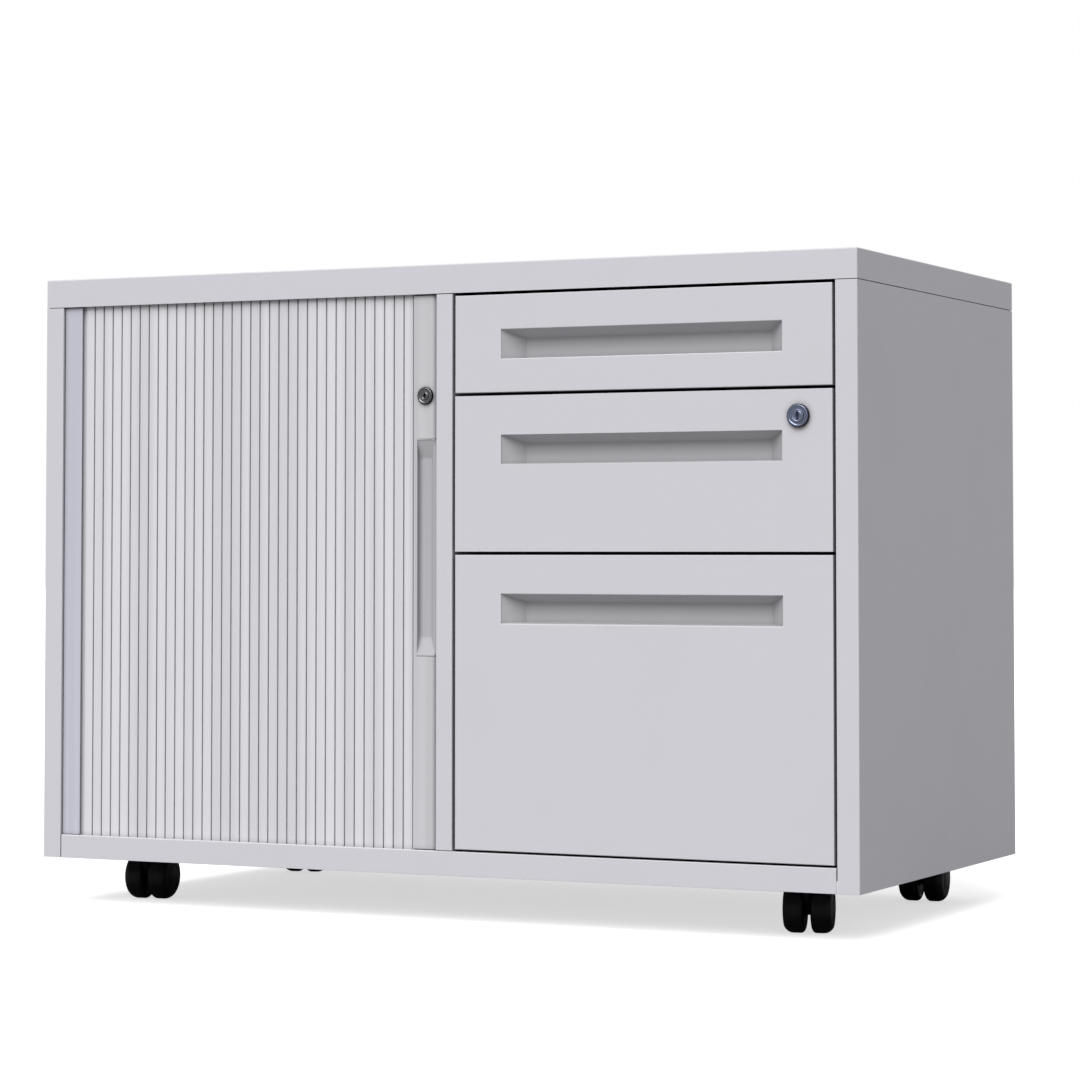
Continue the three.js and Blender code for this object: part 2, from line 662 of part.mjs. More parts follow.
// A domed wheel with a blind bore for the axle; side is -1 or 1 along the axle.
function casterWheel(side) {
  const profile = [
    [0, WHEEL_INNER],
    [WHEEL_RADIUS - 4.5, WHEEL_INNER],
    [WHEEL_RADIUS - 1.3, WHEEL_INNER + 1.4],
    [WHEEL_RADIUS, WHEEL_INNER + 4.5],
    [WHEEL_RADIUS, WHEEL_OUTER - 10],
    [WHEEL_RADIUS - 1.4, WHEEL_OUTER - 6.4],
    [WHEEL_RADIUS - 5, WHEEL_OUTER - 3.2],
    [WHEEL_RADIUS - 12, WHEEL_OUTER - 0.9],
    [0, WHEEL_OUTER],
  ].map(([radius, along]) => new THREE.Vector2(radius, along));
  const turned = solidOf(new THREE.LatheGeometry(profile, 40).rotateZ(-Math.PI / 2));
  const wheel = (side < 0 ? turned.mirror([1, 0, 0]) : turned).translate([0, WHEEL_TRAIL, WHEEL_RADIUS]);
  const bore = [side * (WHEEL_INNER - 1), side * (AXLE_END + 1)].sort((a, b) => a - b);
  return wheel.subtract(rodX(AXLE_RADIUS + FIT, bore, WHEEL_TRAIL, WHEEL_RADIUS));
}

function casterGroup(place) {
  const [fore, flank] = place.split("_");
  const group = new THREE.Group();
  group.position.set(
    flank === "left" ? LEFT + CASTER_INSET_X : RIGHT - CASTER_INSET_X,
    fore === "front" ? FRONT + CASTER_INSET_Y : BACK - CASTER_INSET_Y,
    0,
  );
  const turning = new THREE.Group();
  turning.rotation.z = THREE.MathUtils.degToRad(CASTER_TURNS[place]);
  turning.add(
    piece(`caster_${place}_housing`, casterHousing(), BLACK),
    piece(`caster_${place}_wheel_left`, casterWheel(-1), BLACK),
    piece(`caster_${place}_wheel_right`, casterWheel(1), BLACK),
  );
  group.add(piece(`caster_${place}_plate`, casterPlate(), ZINC), turning);
  return group;
}

// ---------------------------------------------------------------- assembly
const caddy = new THREE.Group();
caddy.add(
  piece("top_cap", topCap(), PAINT),
  piece("left_side_panel", sidePanel(-1, LEFT_POST, CORNER_LIP), PAINT),
  piece("right_side_panel", sidePanel(1, RIGHT_POST, POST_RETURN), PAINT),
  piece("back_panel", backPanel(), PAINT),
  piece("base_pan", basePan(), PAINT),
  piece("divider_panel", dividerPanel(), PAINT),
  piece("drawer_bay_liner", drawerBayLiner(), PAINT),
  piece("tambour_liner", tambourLiner(), PAINT),
  piece("cupboard_shelf", cupboardShelf(), PAINT),
  piece("tambour_bottom_track", bottomTrack(), PLASTIC),
  piece("tambour_top_track", topTrack(), PLASTIC),
  piece("tambour_guide_strip", guideStrip(), STRIP),
  piece("tambour_curtain", curtain(), PLASTIC),
  piece("tambour_end_profile", endProfile(), PLASTIC),
  piece("tambour_grip", tambourGrip(), GRIP),
  piece("tambour_lock_barrel", tambourLockBarrel(), LOCK),
  piece("tambour_lock_plug", tambourLockPlug(), LOCK),
  piece("lock_bar", lockBar(), ZINC),
  ...FRONT_HEIGHTS.map((height, index) => drawerGroup(index)),
  ...Object.keys(CASTER_TURNS).map(casterGroup),
);

export default caddy;
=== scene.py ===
"""Looks of a mobile steel storage caddy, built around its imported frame.

The frame holds every part's place, size and joint. Each class below dresses one sub-assembly: it copies
the folded-steel parts with softened edges, makes the moulded and turned parts finer, and adds the small
fasteners.
"""

import json
import logging
import math
from collections.abc import Callable, Sequence
from dataclasses import dataclass, replace
from enum import Enum

import bmesh
import bpy
from mathutils import Matrix, Vector


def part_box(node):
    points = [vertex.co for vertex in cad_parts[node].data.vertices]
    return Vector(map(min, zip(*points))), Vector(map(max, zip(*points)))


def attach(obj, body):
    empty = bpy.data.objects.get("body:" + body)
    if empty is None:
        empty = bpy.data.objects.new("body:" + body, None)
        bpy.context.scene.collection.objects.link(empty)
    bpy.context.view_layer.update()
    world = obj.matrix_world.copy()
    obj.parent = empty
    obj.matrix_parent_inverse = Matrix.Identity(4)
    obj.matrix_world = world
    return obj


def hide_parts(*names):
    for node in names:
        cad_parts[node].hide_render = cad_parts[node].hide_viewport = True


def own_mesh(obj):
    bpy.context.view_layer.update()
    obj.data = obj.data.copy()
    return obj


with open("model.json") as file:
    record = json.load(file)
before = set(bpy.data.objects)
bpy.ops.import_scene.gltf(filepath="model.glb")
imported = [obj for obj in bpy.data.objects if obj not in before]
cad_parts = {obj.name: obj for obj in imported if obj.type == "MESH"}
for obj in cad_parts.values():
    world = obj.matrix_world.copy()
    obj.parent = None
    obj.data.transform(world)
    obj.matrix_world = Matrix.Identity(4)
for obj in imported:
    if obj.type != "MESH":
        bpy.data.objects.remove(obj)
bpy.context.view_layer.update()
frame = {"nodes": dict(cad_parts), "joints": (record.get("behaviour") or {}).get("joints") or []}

log = logging.getLogger("caddy")

MM = 0.001
SOFT_EDGE = 0.3 * MM  # edge radius of cut sheet
FOLD_EDGE = 1.0 * MM  # outer radius of a fold
SHARP_ANGLE = math.radians(35)
Object = bpy.types.Object
Material = bpy.types.Material
Node = bpy.types.Node
Edit = bmesh.types.BMesh
Outline = list[tuple[float, float]]


class Slot(Enum):
    """The record's material slots."""

    BODY = "body_paint"
    GRIP = "grip_paint"
    TAMBOUR = "tambour_plastic"
    TRACK = "track_plastic"
    STRIP = "guide_strip"
    ZINC = "slide_zinc"
    LOCK = "lock_metal"
    CASTER = "caster_body"
    WHEEL = "caster_wheel"


class Side(Enum):
    """Left or right, seen from the front."""

    LEFT = "left"
    RIGHT = "right"


class Axis(Enum):
    """The three axes of the frame."""

    X = 0
    Y = 1
    Z = 2


# ------------------------------------------------------------------------------------------------ node trees
class Graph:
    """A short way to write a node tree."""

    def __init__(self, tree: bpy.types.NodeTree) -> None:
        """Wraps a tree.

        Args:
            tree: the tree that nodes are added to.
        """
        self.tree = tree

    def add(self, kind: str, values: dict[str, object] | None = None, **settings: object) -> Node:
        """Adds a node.

        Args:
            kind: the node's type name.
            values: input socket names, or numbers in words, with a plain value or an output socket each.
            settings: the node's own properties.

        Returns:
            The node.
        """
        node = self.tree.nodes.new(kind)
        for name, value in settings.items():
            setattr(node, name, value)
        for name, value in (values or {}).items():
            self.feed(node, name, value)
        return node

    def feed(self, node: Node, name: str, value: object) -> None:
        """Sets an input to a value or links an output to it.

        Args:
            node: the node that is fed.
            name: its input's name, or the input's number in words.
            value: a plain value or an output socket.
        """
        socket = node.inputs[int(name)] if name.isdigit() else node.inputs[name]
        if isinstance(value, bpy.types.NodeSocket):
            self.tree.links.new(value, socket)
        else:
            socket.default_value = value

    def math(self, operation: str, *values: object) -> bpy.types.NodeSocket:
        """Adds a Math node.

        Args:
            operation: its operation, such as MULTIPLY.
            values: its inputs in order.

        Returns:
            Its output.
        """
        inputs = {str(i): value for i, value in enumerate(values)}
        return self.add("ShaderNodeMath", inputs, operation=operation).outputs[0]

    def place(self) -> bpy.types.NodeSocket:
        """Adds the object's own coordinates."""
        return self.add("ShaderNodeTexCoord").outputs["Object"]

    def noise(self, place: object, scale: object, detail: float, **others: float) -> bpy.types.NodeSocket:
        """Adds a noise texture.

        Args:
            place: the coordinates.
            scale: its scale.
            detail: its detail.
            others: its other inputs by name.

        Returns:
            Its value.
        """
        inputs = {"Vector": place, "Scale": scale, "Detail": detail, **others}
        return self.add("ShaderNodeTexNoise", inputs).outputs[0]

    def ramp(self, value: object, low: float, high: float) -> bpy.types.NodeSocket:
        """Maps low to 0 and high to 1, smoothly.

        Args:
            value: what is mapped.
            low: the value that gives 0.
            high: the value that gives 1.

        Returns:
            The mapped value.
        """
        inputs = {"Value": value, "From Min": low, "From Max": high}
        return self.add("ShaderNodeMapRange", inputs, interpolation_type="SMOOTHSTEP").outputs[0]

    def blend(self, share: object, first: object, second: object) -> bpy.types.NodeSocket:
        """Mixes two colours.

        Args:
            share: 0 gives the first colour, and 1 the second.
            first: a colour or an output.
            second: a colour or an output.

        Returns:
            The mixed colour.
        """
        node = self.add("ShaderNodeMix", {"0": share}, data_type="RGBA")
        self.feed(node, "6", first)
        self.feed(node, "7", second)
        return node.outputs[2]


def new_group(name: str, inputs: dict[str, float], outputs: Sequence[str]) -> tuple[Graph, Node, Node]:
    """Starts a shader node group of plain numbers.

    Args:
        name: the group's name.
        inputs: each input's name and default.
        outputs: the outputs' names.

    Returns:
        The group's graph, its input node and its output node.
    """
    tree = bpy.data.node_groups.new(name, "ShaderNodeTree")
    for label, default in inputs.items():
        socket = tree.interface.new_socket(label, in_out="INPUT", socket_type="NodeSocketFloat")
        socket.default_value = default
    for label in outputs:
        tree.interface.new_socket(label, in_out="OUTPUT", socket_type="NodeSocketFloat")
    graph = Graph(tree)
    return graph, graph.add("NodeGroupInput"), graph.add("NodeGroupOutput")


class Effects:
    """Shader node groups that several finishes share, each built once."""

    _made: dict[str, bpy.types.NodeTree] = {}

    @classmethod
    def add(cls, graph: Graph, name: str, values: dict[str, float] | None = None) -> Node:
        """Adds a group's node, building the group the first time.

        Args:
            graph: the graph that the node is added to.
            name: orange_peel, edge_rub (edge wear with a painted highlight), handling, grime (painted shade
                in seams) or drawn_lines.
            values: the group's inputs by name.

        Returns:
            The node.
        """
        if name not in cls._made:
            cls._made[name] = getattr(cls, f"_{name}")()
        return graph.add("ShaderNodeGroup", values, node_tree=cls._made[name])

    @staticmethod
    def _orange_peel() -> bpy.types.NodeTree:
        """The fine dimples of sprayed powder, with a slower unevenness of the sheet under them."""
        graph, given, out = new_group("orange_peel", {"Scale": 900.0, "Waviness": 0.3}, ["Height"])
        place = graph.place()
        fine = graph.noise(place, given.outputs["Scale"], 2.0)
        slow = graph.noise(place, 9.0, 1.0)
        wave = graph.math("MULTIPLY", slow, given.outputs["Waviness"])
        graph.feed(out, "Height", graph.math("ADD", fine, wave))
        return graph.tree

    @staticmethod
    def _edge_rub() -> bpy.types.NodeTree:
        """Where edges are rubbed and lighter: the mesh's edge faces, broken up by noise; partly wear, partly
        a painted highlight.
        """
        graph, given, out = new_group("edge_rub", {"Amount": 0.5, "Scale": 60.0}, ["Mask"])
        edge = graph.add("ShaderNodeAttribute", attribute_name="edge").outputs["Fac"]
        broken = graph.ramp(graph.noise(graph.place(), given.outputs["Scale"], 4.0), 0.35, 0.7)
        share = graph.math("MULTIPLY_ADD", broken, 0.6, 0.4)
        rubbed = graph.math("MULTIPLY", edge, share)
        graph.feed(out, "Mask", graph.math("MULTIPLY", rubbed, given.outputs["Amount"]))
        return graph.tree

    @staticmethod
    def _handling() -> bpy.types.NodeTree:
        """Faint clouds of handling marks, and dust that settles on faces that look up."""
        graph, given, out = new_group("handling", {"Smudge": 0.3, "Dust": 0.3}, ["Smudge", "Dust"])
        place = graph.place()
        smudge = graph.ramp(graph.noise(place, 7.0, 5.0, Roughness=0.6), 0.45, 0.75)
        graph.feed(out, "Smudge", graph.math("MULTIPLY", smudge, given.outputs["Smudge"]))
        normal = graph.add("ShaderNodeNewGeometry").outputs["Normal"]
        upward = graph.ramp(graph.add("ShaderNodeSeparateXYZ", {"0": normal}).outputs["Z"], 0.5, 1.0)
        specks = graph.ramp(graph.noise(place, 350.0, 3.0), 0.4, 0.7)
        grain = graph.math("MULTIPLY", specks, upward)
        graph.feed(out, "Dust", graph.math("MULTIPLY", grain, given.outputs["Dust"]))
        return graph.tree

    @staticmethod
    def _grime() -> bpy.types.NodeTree:
        """Painted shade: darkening in seams and inner corners, from ambient occlusion, broken up by noise."""
        graph, given, out = new_group("grime", {"Reach": 0.006, "Amount": 0.6}, ["Mask"])
        reach = {"Distance": given.outputs["Reach"]}
        open_share = graph.add("ShaderNodeAmbientOcclusion", reach, samples=8)
        shut = graph.math("SUBTRACT", 1.0, open_share.outputs["AO"])
        share = graph.math("MULTIPLY_ADD", graph.noise(graph.place(), 220.0, 2.0), 0.3, 0.85)
        mask = graph.math("MULTIPLY", graph.math("MULTIPLY", shut, share), given.outputs["Amount"])
        graph.feed(out, "Mask", graph.math("MINIMUM", mask, 1.0))
        return graph.tree

    @staticmethod
    def _drawn_lines() -> bpy.types.NodeTree:
        """Fine straight lines left by a die, a roll or a brush, along one of the object's axes."""
        scales = {"Across": 900.0, "Along X": 1.0, "Along Y": 1.0, "Along Z": 0.01}
        graph, given, out = new_group("drawn_lines", scales, ["Line", "Tone"])
        along = {axis.name: given.outputs[f"Along {axis.name}"] for axis in Axis}
        factors = {"0": graph.place(), "1": graph.add("ShaderNodeCombineXYZ", along).outputs[0]}
        place = graph.add("ShaderNodeVectorMath", factors, operation="MULTIPLY").outputs[0]
        graph.feed(out, "Line", graph.noise(place, given.outputs["Across"], 3.0))
        graph.feed(out, "Tone", graph.noise(place, 60.0, 2.0))
        return graph.tree


# ------------------------------------------------------------------------------------------------ finishes
SMUDGED = 0.93  # share of the base colour that is left where hands have been
STREAKED = 0.9  # and in the darkest drawn lines
PAINTED_SHADE_SHARE = 0.16  # and under the painted shade of seams and inner corners
DUSTY = (0.5, 0.16)  # share that is left under dust, and the grey that the dust adds
SMUDGE_DULL, DUST_DULL, RUB_SHINE = 0.18, 0.3, -0.12  # what the wear adds to the roughness


@dataclass(frozen=True)
class Finish:
    """A procedural surface: a base colour, its wear, painted highlights on edges, painted shade in seams and
    its relief.

    Attributes:
        name: the material's name.
        slot: the record's slot.
        color: linear base colour.
        worn: linear colour of rubbed edges, lighter than the base: partly wear, partly a painted highlight.
        roughness: base roughness.
        metallic: 0 for paint and plastic, 1 for bare metal.
        coat: weight of a clear coat.
        relief: depth of the relief, in metres.
        grain: scale of the relief.
        rub: how far edges are rubbed and lit by that painted highlight.
        dust: how much dust lies on faces that look up.
        gloss: level of the plain reflection, 0.5 for most surfaces.
        grime: how dark the painted shade in seams and inner corners is.
    """

    name: str
    slot: Slot
    color: tuple[float, float, float]
    worn: tuple[float, float, float]
    roughness: float
    metallic: float = 0.0
    coat: float = 0.0
    relief: float = 0.02 * MM
    grain: float = 900.0
    rub: float = 0.35
    dust: float = 0.25
    gloss: float = 0.5
    grime: float = 0.9

    def material(self) -> Material:
        """Gives the material of this name: the frame's, if it has one, or else one made at the first call."""
        known = bpy.data.materials.get(self.name)
        return known if known else self._build()

    def _relief(self, graph: Graph) -> tuple[bpy.types.NodeSocket, bpy.types.NodeSocket | None]:
        """Adds the relief.

        Args:
            graph: the material's graph.

        Returns:
            The relief's height, and a tone that follows it or None.
        """
        node = Effects.add(graph, "orange_peel", {"Scale": self.grain})
        return node.outputs["Height"], None

    def _tint(self, share: float, lift: float = 0.0) -> tuple[float, ...]:
        """A share of the base colour, lifted by a little grey, with an alpha of 1."""
        return (*(share * c + lift for c in self.color), 1.0)

    def _build(self) -> Material:
        """Builds the node tree: colour, wear with painted edge highlights, dust, painted shade in seams,
        roughness and relief into one Principled shader.
        """
        material = bpy.data.materials.new(self.name)
        material.use_nodes = True
        material.node_tree.nodes.clear()
        graph = Graph(material.node_tree)
        # Masks: edge wear with a painted highlight, handling marks and dust, and painted shade in seams.
        rub = Effects.add(graph, "edge_rub", {"Amount": self.rub}).outputs["Mask"]
        marks = Effects.add(graph, "handling", {"Dust": self.dust}).outputs
        seams = Effects.add(graph, "grime", {"Amount": self.grime}).outputs["Mask"]
        height, tone = self._relief(graph)
        base = graph.blend(marks["Smudge"], self._tint(1.0), self._tint(SMUDGED))
        if tone is not None:
            base = graph.blend(graph.ramp(tone, 0.35, 0.65), base, self._tint(STREAKED))
        # Edges lighter than the base colour: partly wear, partly a painted highlight.
        base = graph.blend(rub, base, (*self.worn, 1.0))
        base = graph.blend(marks["Dust"], base, self._tint(*DUSTY))
        # Painted shade: seams and inner corners darkened, from ambient occlusion.
        base = graph.blend(seams, base, self._tint(PAINTED_SHADE_SHARE))
        rough = graph.math("MULTIPLY_ADD", marks["Smudge"], SMUDGE_DULL, self.roughness)
        rough = graph.math("MULTIPLY_ADD", marks["Dust"], DUST_DULL, rough)
        rough = graph.math("MULTIPLY_ADD", rub, RUB_SHINE, rough)
        bump = graph.add("ShaderNodeBump", {"Height": height, "Distance": self.relief, "Strength": 1.0})
        inputs = {"Base Color": base, "Roughness": rough, "Normal": bump.outputs[0],
                  "Metallic": self.metallic, "Coat Weight": self.coat, "Coat Roughness": 0.25,
                  "Specular IOR Level": self.gloss}
        shader = graph.add("ShaderNodeBsdfPrincipled", inputs)
        out = graph.add("ShaderNodeOutputMaterial")
        graph.tree.links.new(shader.outputs[0], out.inputs["Surface"])
        return material


@dataclass(frozen=True)
class DrawnFinish(Finish):
    """A finish whose relief is fine lines along one axis, as on extruded plastic and rolled steel."""

    along: Axis = Axis.Z

    def _relief(self, graph: Graph) -> tuple[bpy.types.NodeSocket, bpy.types.NodeSocket | None]:
        """Adds lines along the finish's axis."""
        stretch = {f"Along {axis.name}": 0.01 if axis is self.along else 1.0 for axis in Axis}
        node = Effects.add(graph, "drawn_lines", {"Across": self.grain} | stretch)
        return node.outputs["Line"], node.outputs["Tone"]


POWDER_COAT = Finish("powder_coat", Slot.BODY, (0.66, 0.653, 0.695), (0.74, 0.735, 0.76), 0.42, coat=0.08)
# The drawers' finger pulls: the body's paint made darker, which paints the shade inside the recess.
GRIP_COAT_PAINTED_SHADE = Finish("grip_coat", Slot.GRIP, (0.50, 0.497, 0.515), (0.66, 0.655, 0.68), 0.45, grime=0.45)
SLAT_PLASTIC = DrawnFinish("slat_plastic", Slot.TAMBOUR, (0.77, 0.763, 0.795), (0.83, 0.825, 0.85), 0.40,
                           relief=0.03 * MM, dust=0.1, grime=0.62)
PROFILE_PLASTIC = DrawnFinish("profile_plastic", Slot.TAMBOUR, (0.63, 0.624, 0.648), (0.74, 0.735, 0.76),
                              0.38, relief=0.02 * MM, dust=0.1)
# The tambour's finger pull: grey plastic, its darkness partly the plastic's own tone and partly painted shade
# in the pocket.
PULL_PLASTIC_AND_SHADE = Finish("pull_plastic", Slot.TAMBOUR, (0.49, 0.482, 0.505), (0.64, 0.635, 0.655), 0.42,
                      dust=0.1, grime=0.6)
# The frame has a material of this name, so that is the one that the tracks show.
TRACK_PLASTIC = DrawnFinish("track_plastic", Slot.TRACK, (0.60, 0.60, 0.63), (0.70, 0.70, 0.72), 0.5,
                            along=Axis.X)
STRIP_PLASTIC = DrawnFinish("strip_plastic", Slot.STRIP, (0.63, 0.63, 0.715), (0.70, 0.70, 0.77), 0.35,
                            relief=0.02 * MM)
ZINC = DrawnFinish("zinc_plate", Slot.ZINC, (0.62, 0.63, 0.66), (0.78, 0.78, 0.80), 0.32, metallic=1.0,
                   relief=0.01 * MM, along=Axis.Y)
LOCK_METAL = Finish("blue_lock_metal", Slot.LOCK, (0.29, 0.325, 0.45), (0.46, 0.49, 0.60), 0.3,
                    metallic=1.0, relief=0.01 * MM, grain=2500.0, rub=0.4, dust=0.05, grime=0.2)
GREY_METAL = replace(LOCK_METAL, name="grey_lock_metal", color=(0.24, 0.242, 0.255), worn=(0.40, 0.40, 0.42))
# A black ring over the flange's outer edge and side, which paints the shade that falls there.
SHADE_RING_BLACK = Finish("lock_collar", Slot.LOCK, (0.02, 0.021, 0.028), (0.08, 0.08, 0.09), 0.4,
                      metallic=1.0, relief=0.01 * MM, grain=2500.0, rub=0.3, dust=0.05)
CASTER_NYLON = Finish("caster_nylon", Slot.CASTER, (0.0025, 0.0025, 0.0025), (0.01, 0.01, 0.01), 0.5,
                      relief=0.04 * MM, grain=1600.0, dust=0.02, gloss=0.2)
WHEEL_NYLON = Finish("wheel_nylon", Slot.WHEEL, (0.003, 0.003, 0.003), (0.012, 0.012, 0.012), 0.42,
                     relief=0.02 * MM, grain=1600.0, dust=0.02, gloss=0.25)


# ------------------------------------------------------------------------------------------------ meshes
def link(name: str, mesh: Edit) -> Object:
    """Puts an edit mesh in the scene and frees it.

    Args:
        name: the object's name.
        mesh: the edit mesh, in the frame's coordinates.

    Returns:
        The object.
    """
    data = bpy.data.meshes.new(name)
    mesh.to_mesh(data)
    mesh.free()
    piece = bpy.data.objects.new(name, data)
    bpy.context.scene.collection.objects.link(piece)
    return piece


def baked(piece: Object) -> Object:
    """Turns an object with modifiers into a plain mesh of the same name.

    Args:
        piece: the object.

    Returns:
        The object, with its modifiers' result as its own mesh.
    """
    graph = bpy.context.evaluated_depsgraph_get()
    mesh = bpy.data.meshes.new_from_object(piece.evaluated_get(graph), depsgraph=graph)
    piece.modifiers.clear()
    piece.data = mesh
    mesh.name = piece.name
    return piece


def even_shading(piece: Object) -> Object:
    """Shades a piece smooth, with normals weighted by face area that keep flat faces flat.

    Args:
        piece: the object.

    Returns:
        The same object.
    """
    mesh = piece.data
    mesh.shade_smooth()
    mesh.set_sharp_from_angle(angle=SHARP_ANGLE)
    weighted = piece.modifiers.new("weighted", "WEIGHTED_NORMAL")
    weighted.keep_sharp = True
    return baked(piece)


def finish_piece(piece: Object, finish: Finish, body: str, *nodes: str) -> Object:
    """Gives a finished piece its material, body and the nodes that it stands for.

    Args:
        piece: the object.
        finish: its finish.
        body: the body that it rides on.
        nodes: the frame's nodes that it replaces.

    Returns:
        The same object.
    """
    piece.data.materials.clear()
    piece.data.materials.append(finish.material())
    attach(piece, body)
    if nodes:
        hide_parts(*nodes)
    log.info("%s: %d faces on %s", piece.name, len(piece.data.polygons), body)
    return piece


def round_edges(mesh: Edit, edges: Sequence[bmesh.types.BMEdge], radius: float, steps: int) -> None:
    """Rounds edges and marks the new faces in the mesh's edge layer.

    Args:
        mesh: the mesh.
        edges: the edges to round.
        radius: the radius.
        steps: faces across each rounding.
    """
    layer = mesh.faces.layers.float.get("edge") or mesh.faces.layers.float.new("edge")
    if edges:
        made = bmesh.ops.bevel(mesh, geom=list(edges), offset=radius, segments=steps, profile=0.5,
                               affect="EDGES", clamp_overlap=True)
        for face in made["faces"]:
            face[layer] = 1.0


def sharp_edges(mesh: Edit) -> list[bmesh.types.BMEdge]:
    """Lists the edges between two faces that meet at more than the sharp angle."""
    return [e for e in mesh.edges if len(e.link_faces) == 2 and e.calc_face_angle(0.0) > SHARP_ANGLE]


Picker = Callable[[Vector, Vector], bool]


def softened(node: str, finish: Finish, body: str, wide: Picker | None = None, soft: float = SOFT_EDGE,
             fold: float = FOLD_EDGE) -> Object:
    """Copies a node of the frame with rounded edges, and replaces it.

    Args:
        node: the node's name.
        finish: the finish.
        body: the body that the node is on.
        wide: tells from an edge's two ends whether it is a fold, rounded wider than the rest.
        soft: radius of the other edges.
        fold: radius of the folds.

    Returns:
        The new piece.
    """
    mesh = bmesh.new()
    mesh.from_mesh(frame["nodes"][node].data)
    bmesh.ops.remove_doubles(mesh, verts=mesh.verts, dist=0.02 * MM)
    bmesh.ops.dissolve_limit(mesh, angle_limit=math.radians(0.5), verts=mesh.verts, edges=mesh.edges)
    if wide is not None:
        folds = [e for e in sharp_edges(mesh) if wide(e.verts[0].co, e.verts[1].co)]
        round_edges(mesh, folds, fold, 4)
    round_edges(mesh, sharp_edges(mesh), soft, 2)
    bmesh.ops.recalc_face_normals(mesh, faces=mesh.faces)
    return finish_piece(even_shading(link(f"{node}_shell", mesh)), finish, body, node)


def on_plane(axis: Axis, value: float) -> Picker:
    """Makes a picker of the edges that lie in a plane across an axis.

    Args:
        axis: the axis across the plane.
        value: where the plane crosses it.

    Returns:
        The picker.
    """
    near = 0.05 * MM
    return lambda a, b: all(abs(p[axis.value] - value) < near for p in (a, b))


def any_of(*pickers: Picker) -> Picker:
    """Joins pickers: an edge is picked if any of them picks it."""
    return lambda a, b: any(picker(a, b) for picker in pickers)


def all_of(*pickers: Picker) -> Picker:
    """Joins pickers: an edge is picked if all of them pick it."""
    return lambda a, b: all(picker(a, b) for picker in pickers)


def at_ends(axis: Axis, low: Vector, high: Vector) -> Picker:
    """Makes a picker of the edges in either plane that closes a box along an axis."""
    return any_of(on_plane(axis, low[axis.value]), on_plane(axis, high[axis.value]))


def lathe(name: str, profile: Outline, axis: Axis, steps: int = 64) -> Object:
    """Turns a profile about an axis through the origin.

    Args:
        name: the object's name.
        profile: points of (radius, distance along the axis), from the axis to the axis or closed on itself.
        axis: the axis.
        steps: faces round the axis.

    Returns:
        The turned object, at the origin.
    """
    mesh = bmesh.new()
    rings = []
    for radius, along in profile:
        count = 1 if radius < 1e-7 else steps
        ring = []
        for i in range(count):
            angle = 2 * math.pi * i / steps
            ring.append(mesh.verts.new((radius * math.cos(angle), radius * math.sin(angle), along)))
        rings.append(ring)
    for first, second in zip(rings, rings[1:]):
        for i in range(steps):
            j = (i + 1) % steps
            corners = [ring[k % len(ring)] for ring, k in ((first, i), (first, j), (second, j), (second, i))]
            unique = list(dict.fromkeys(corners))
            if len(unique) > 2:
                mesh.faces.new(unique)
    mesh.faces.layers.float.new("edge")
    bmesh.ops.recalc_face_normals(mesh, faces=mesh.faces)
    if mesh.calc_volume(signed=True) < 0:
        bmesh.ops.reverse_faces(mesh, faces=mesh.faces)
    piece = link(name, mesh)
    piece.data.transform(upright_to(axis))
    return piece


def upright_to(axis: Axis) -> Matrix:
    """The turn that lays an upright shape along an axis."""
    turns = {Axis.X: (math.pi / 2, 4, "Y"), Axis.Y: (-math.pi / 2, 4, "X"), Axis.Z: (0.0, 4, "Z")}
    return Matrix.Rotation(*turns[axis])


def arc(centre: tuple[float, float], radius: float, start: float, end: float, steps: int) -> Outline:
    """Points along an arc.

    Args:
        centre: the arc's centre.
        radius: its radius.
        start: its first angle, in degrees.
        end: its last angle, in degrees.
        steps: how many stretches it has.

    Returns:
        The points.
    """
    angles = [math.radians(start + (end - start) * i / steps) for i in range(steps + 1)]
    return [(centre[0] + radius * math.cos(a), centre[1] + radius * math.sin(a)) for a in angles]


def cut(piece: Object, cutter: Object) -> Object:
    """Cuts one object out of another and deletes the cutter.

    Args:
        piece: the object that is cut.
        cutter: the object that cuts.

    Returns:
        The cut object.
    """
    difference = piece.modifiers.new("cut", "BOOLEAN")
    difference.operation = "DIFFERENCE"
    difference.object = cutter
    difference.solver = "EXACT"
    bpy.context.view_layer.update()
    baked(piece)
    bpy.data.objects.remove(cutter)
    return piece


def prism(name: str, points: Outline, axis: Axis, low: float, high: float) -> Object:
    """Draws a flat outline out along an axis.

    Args:
        name: the object's name.
        points: the outline in the other two axes, in the order X, Y, Z.
        axis: the axis.
        low: where the prism starts.
        high: where it ends.

    Returns:
        The object.
    """
    mesh = bmesh.new()
    ends = []
    for along in (low, high):
        ring = []
        for first, second in points:
            place = [first, second]
            place.insert(axis.value, along)
            ring.append(mesh.verts.new(place))
        ends.append(ring)
    mesh.faces.new(ends[0])
    mesh.faces.new(ends[1])
    for i in range(len(points)):
        j = (i + 1) % len(points)
        mesh.faces.new((ends[0][i], ends[0][j], ends[1][j], ends[1][i]))
    mesh.faces.layers.float.new("edge")
    bmesh.ops.recalc_face_normals(mesh, faces=mesh.faces)
    return link(name, mesh)


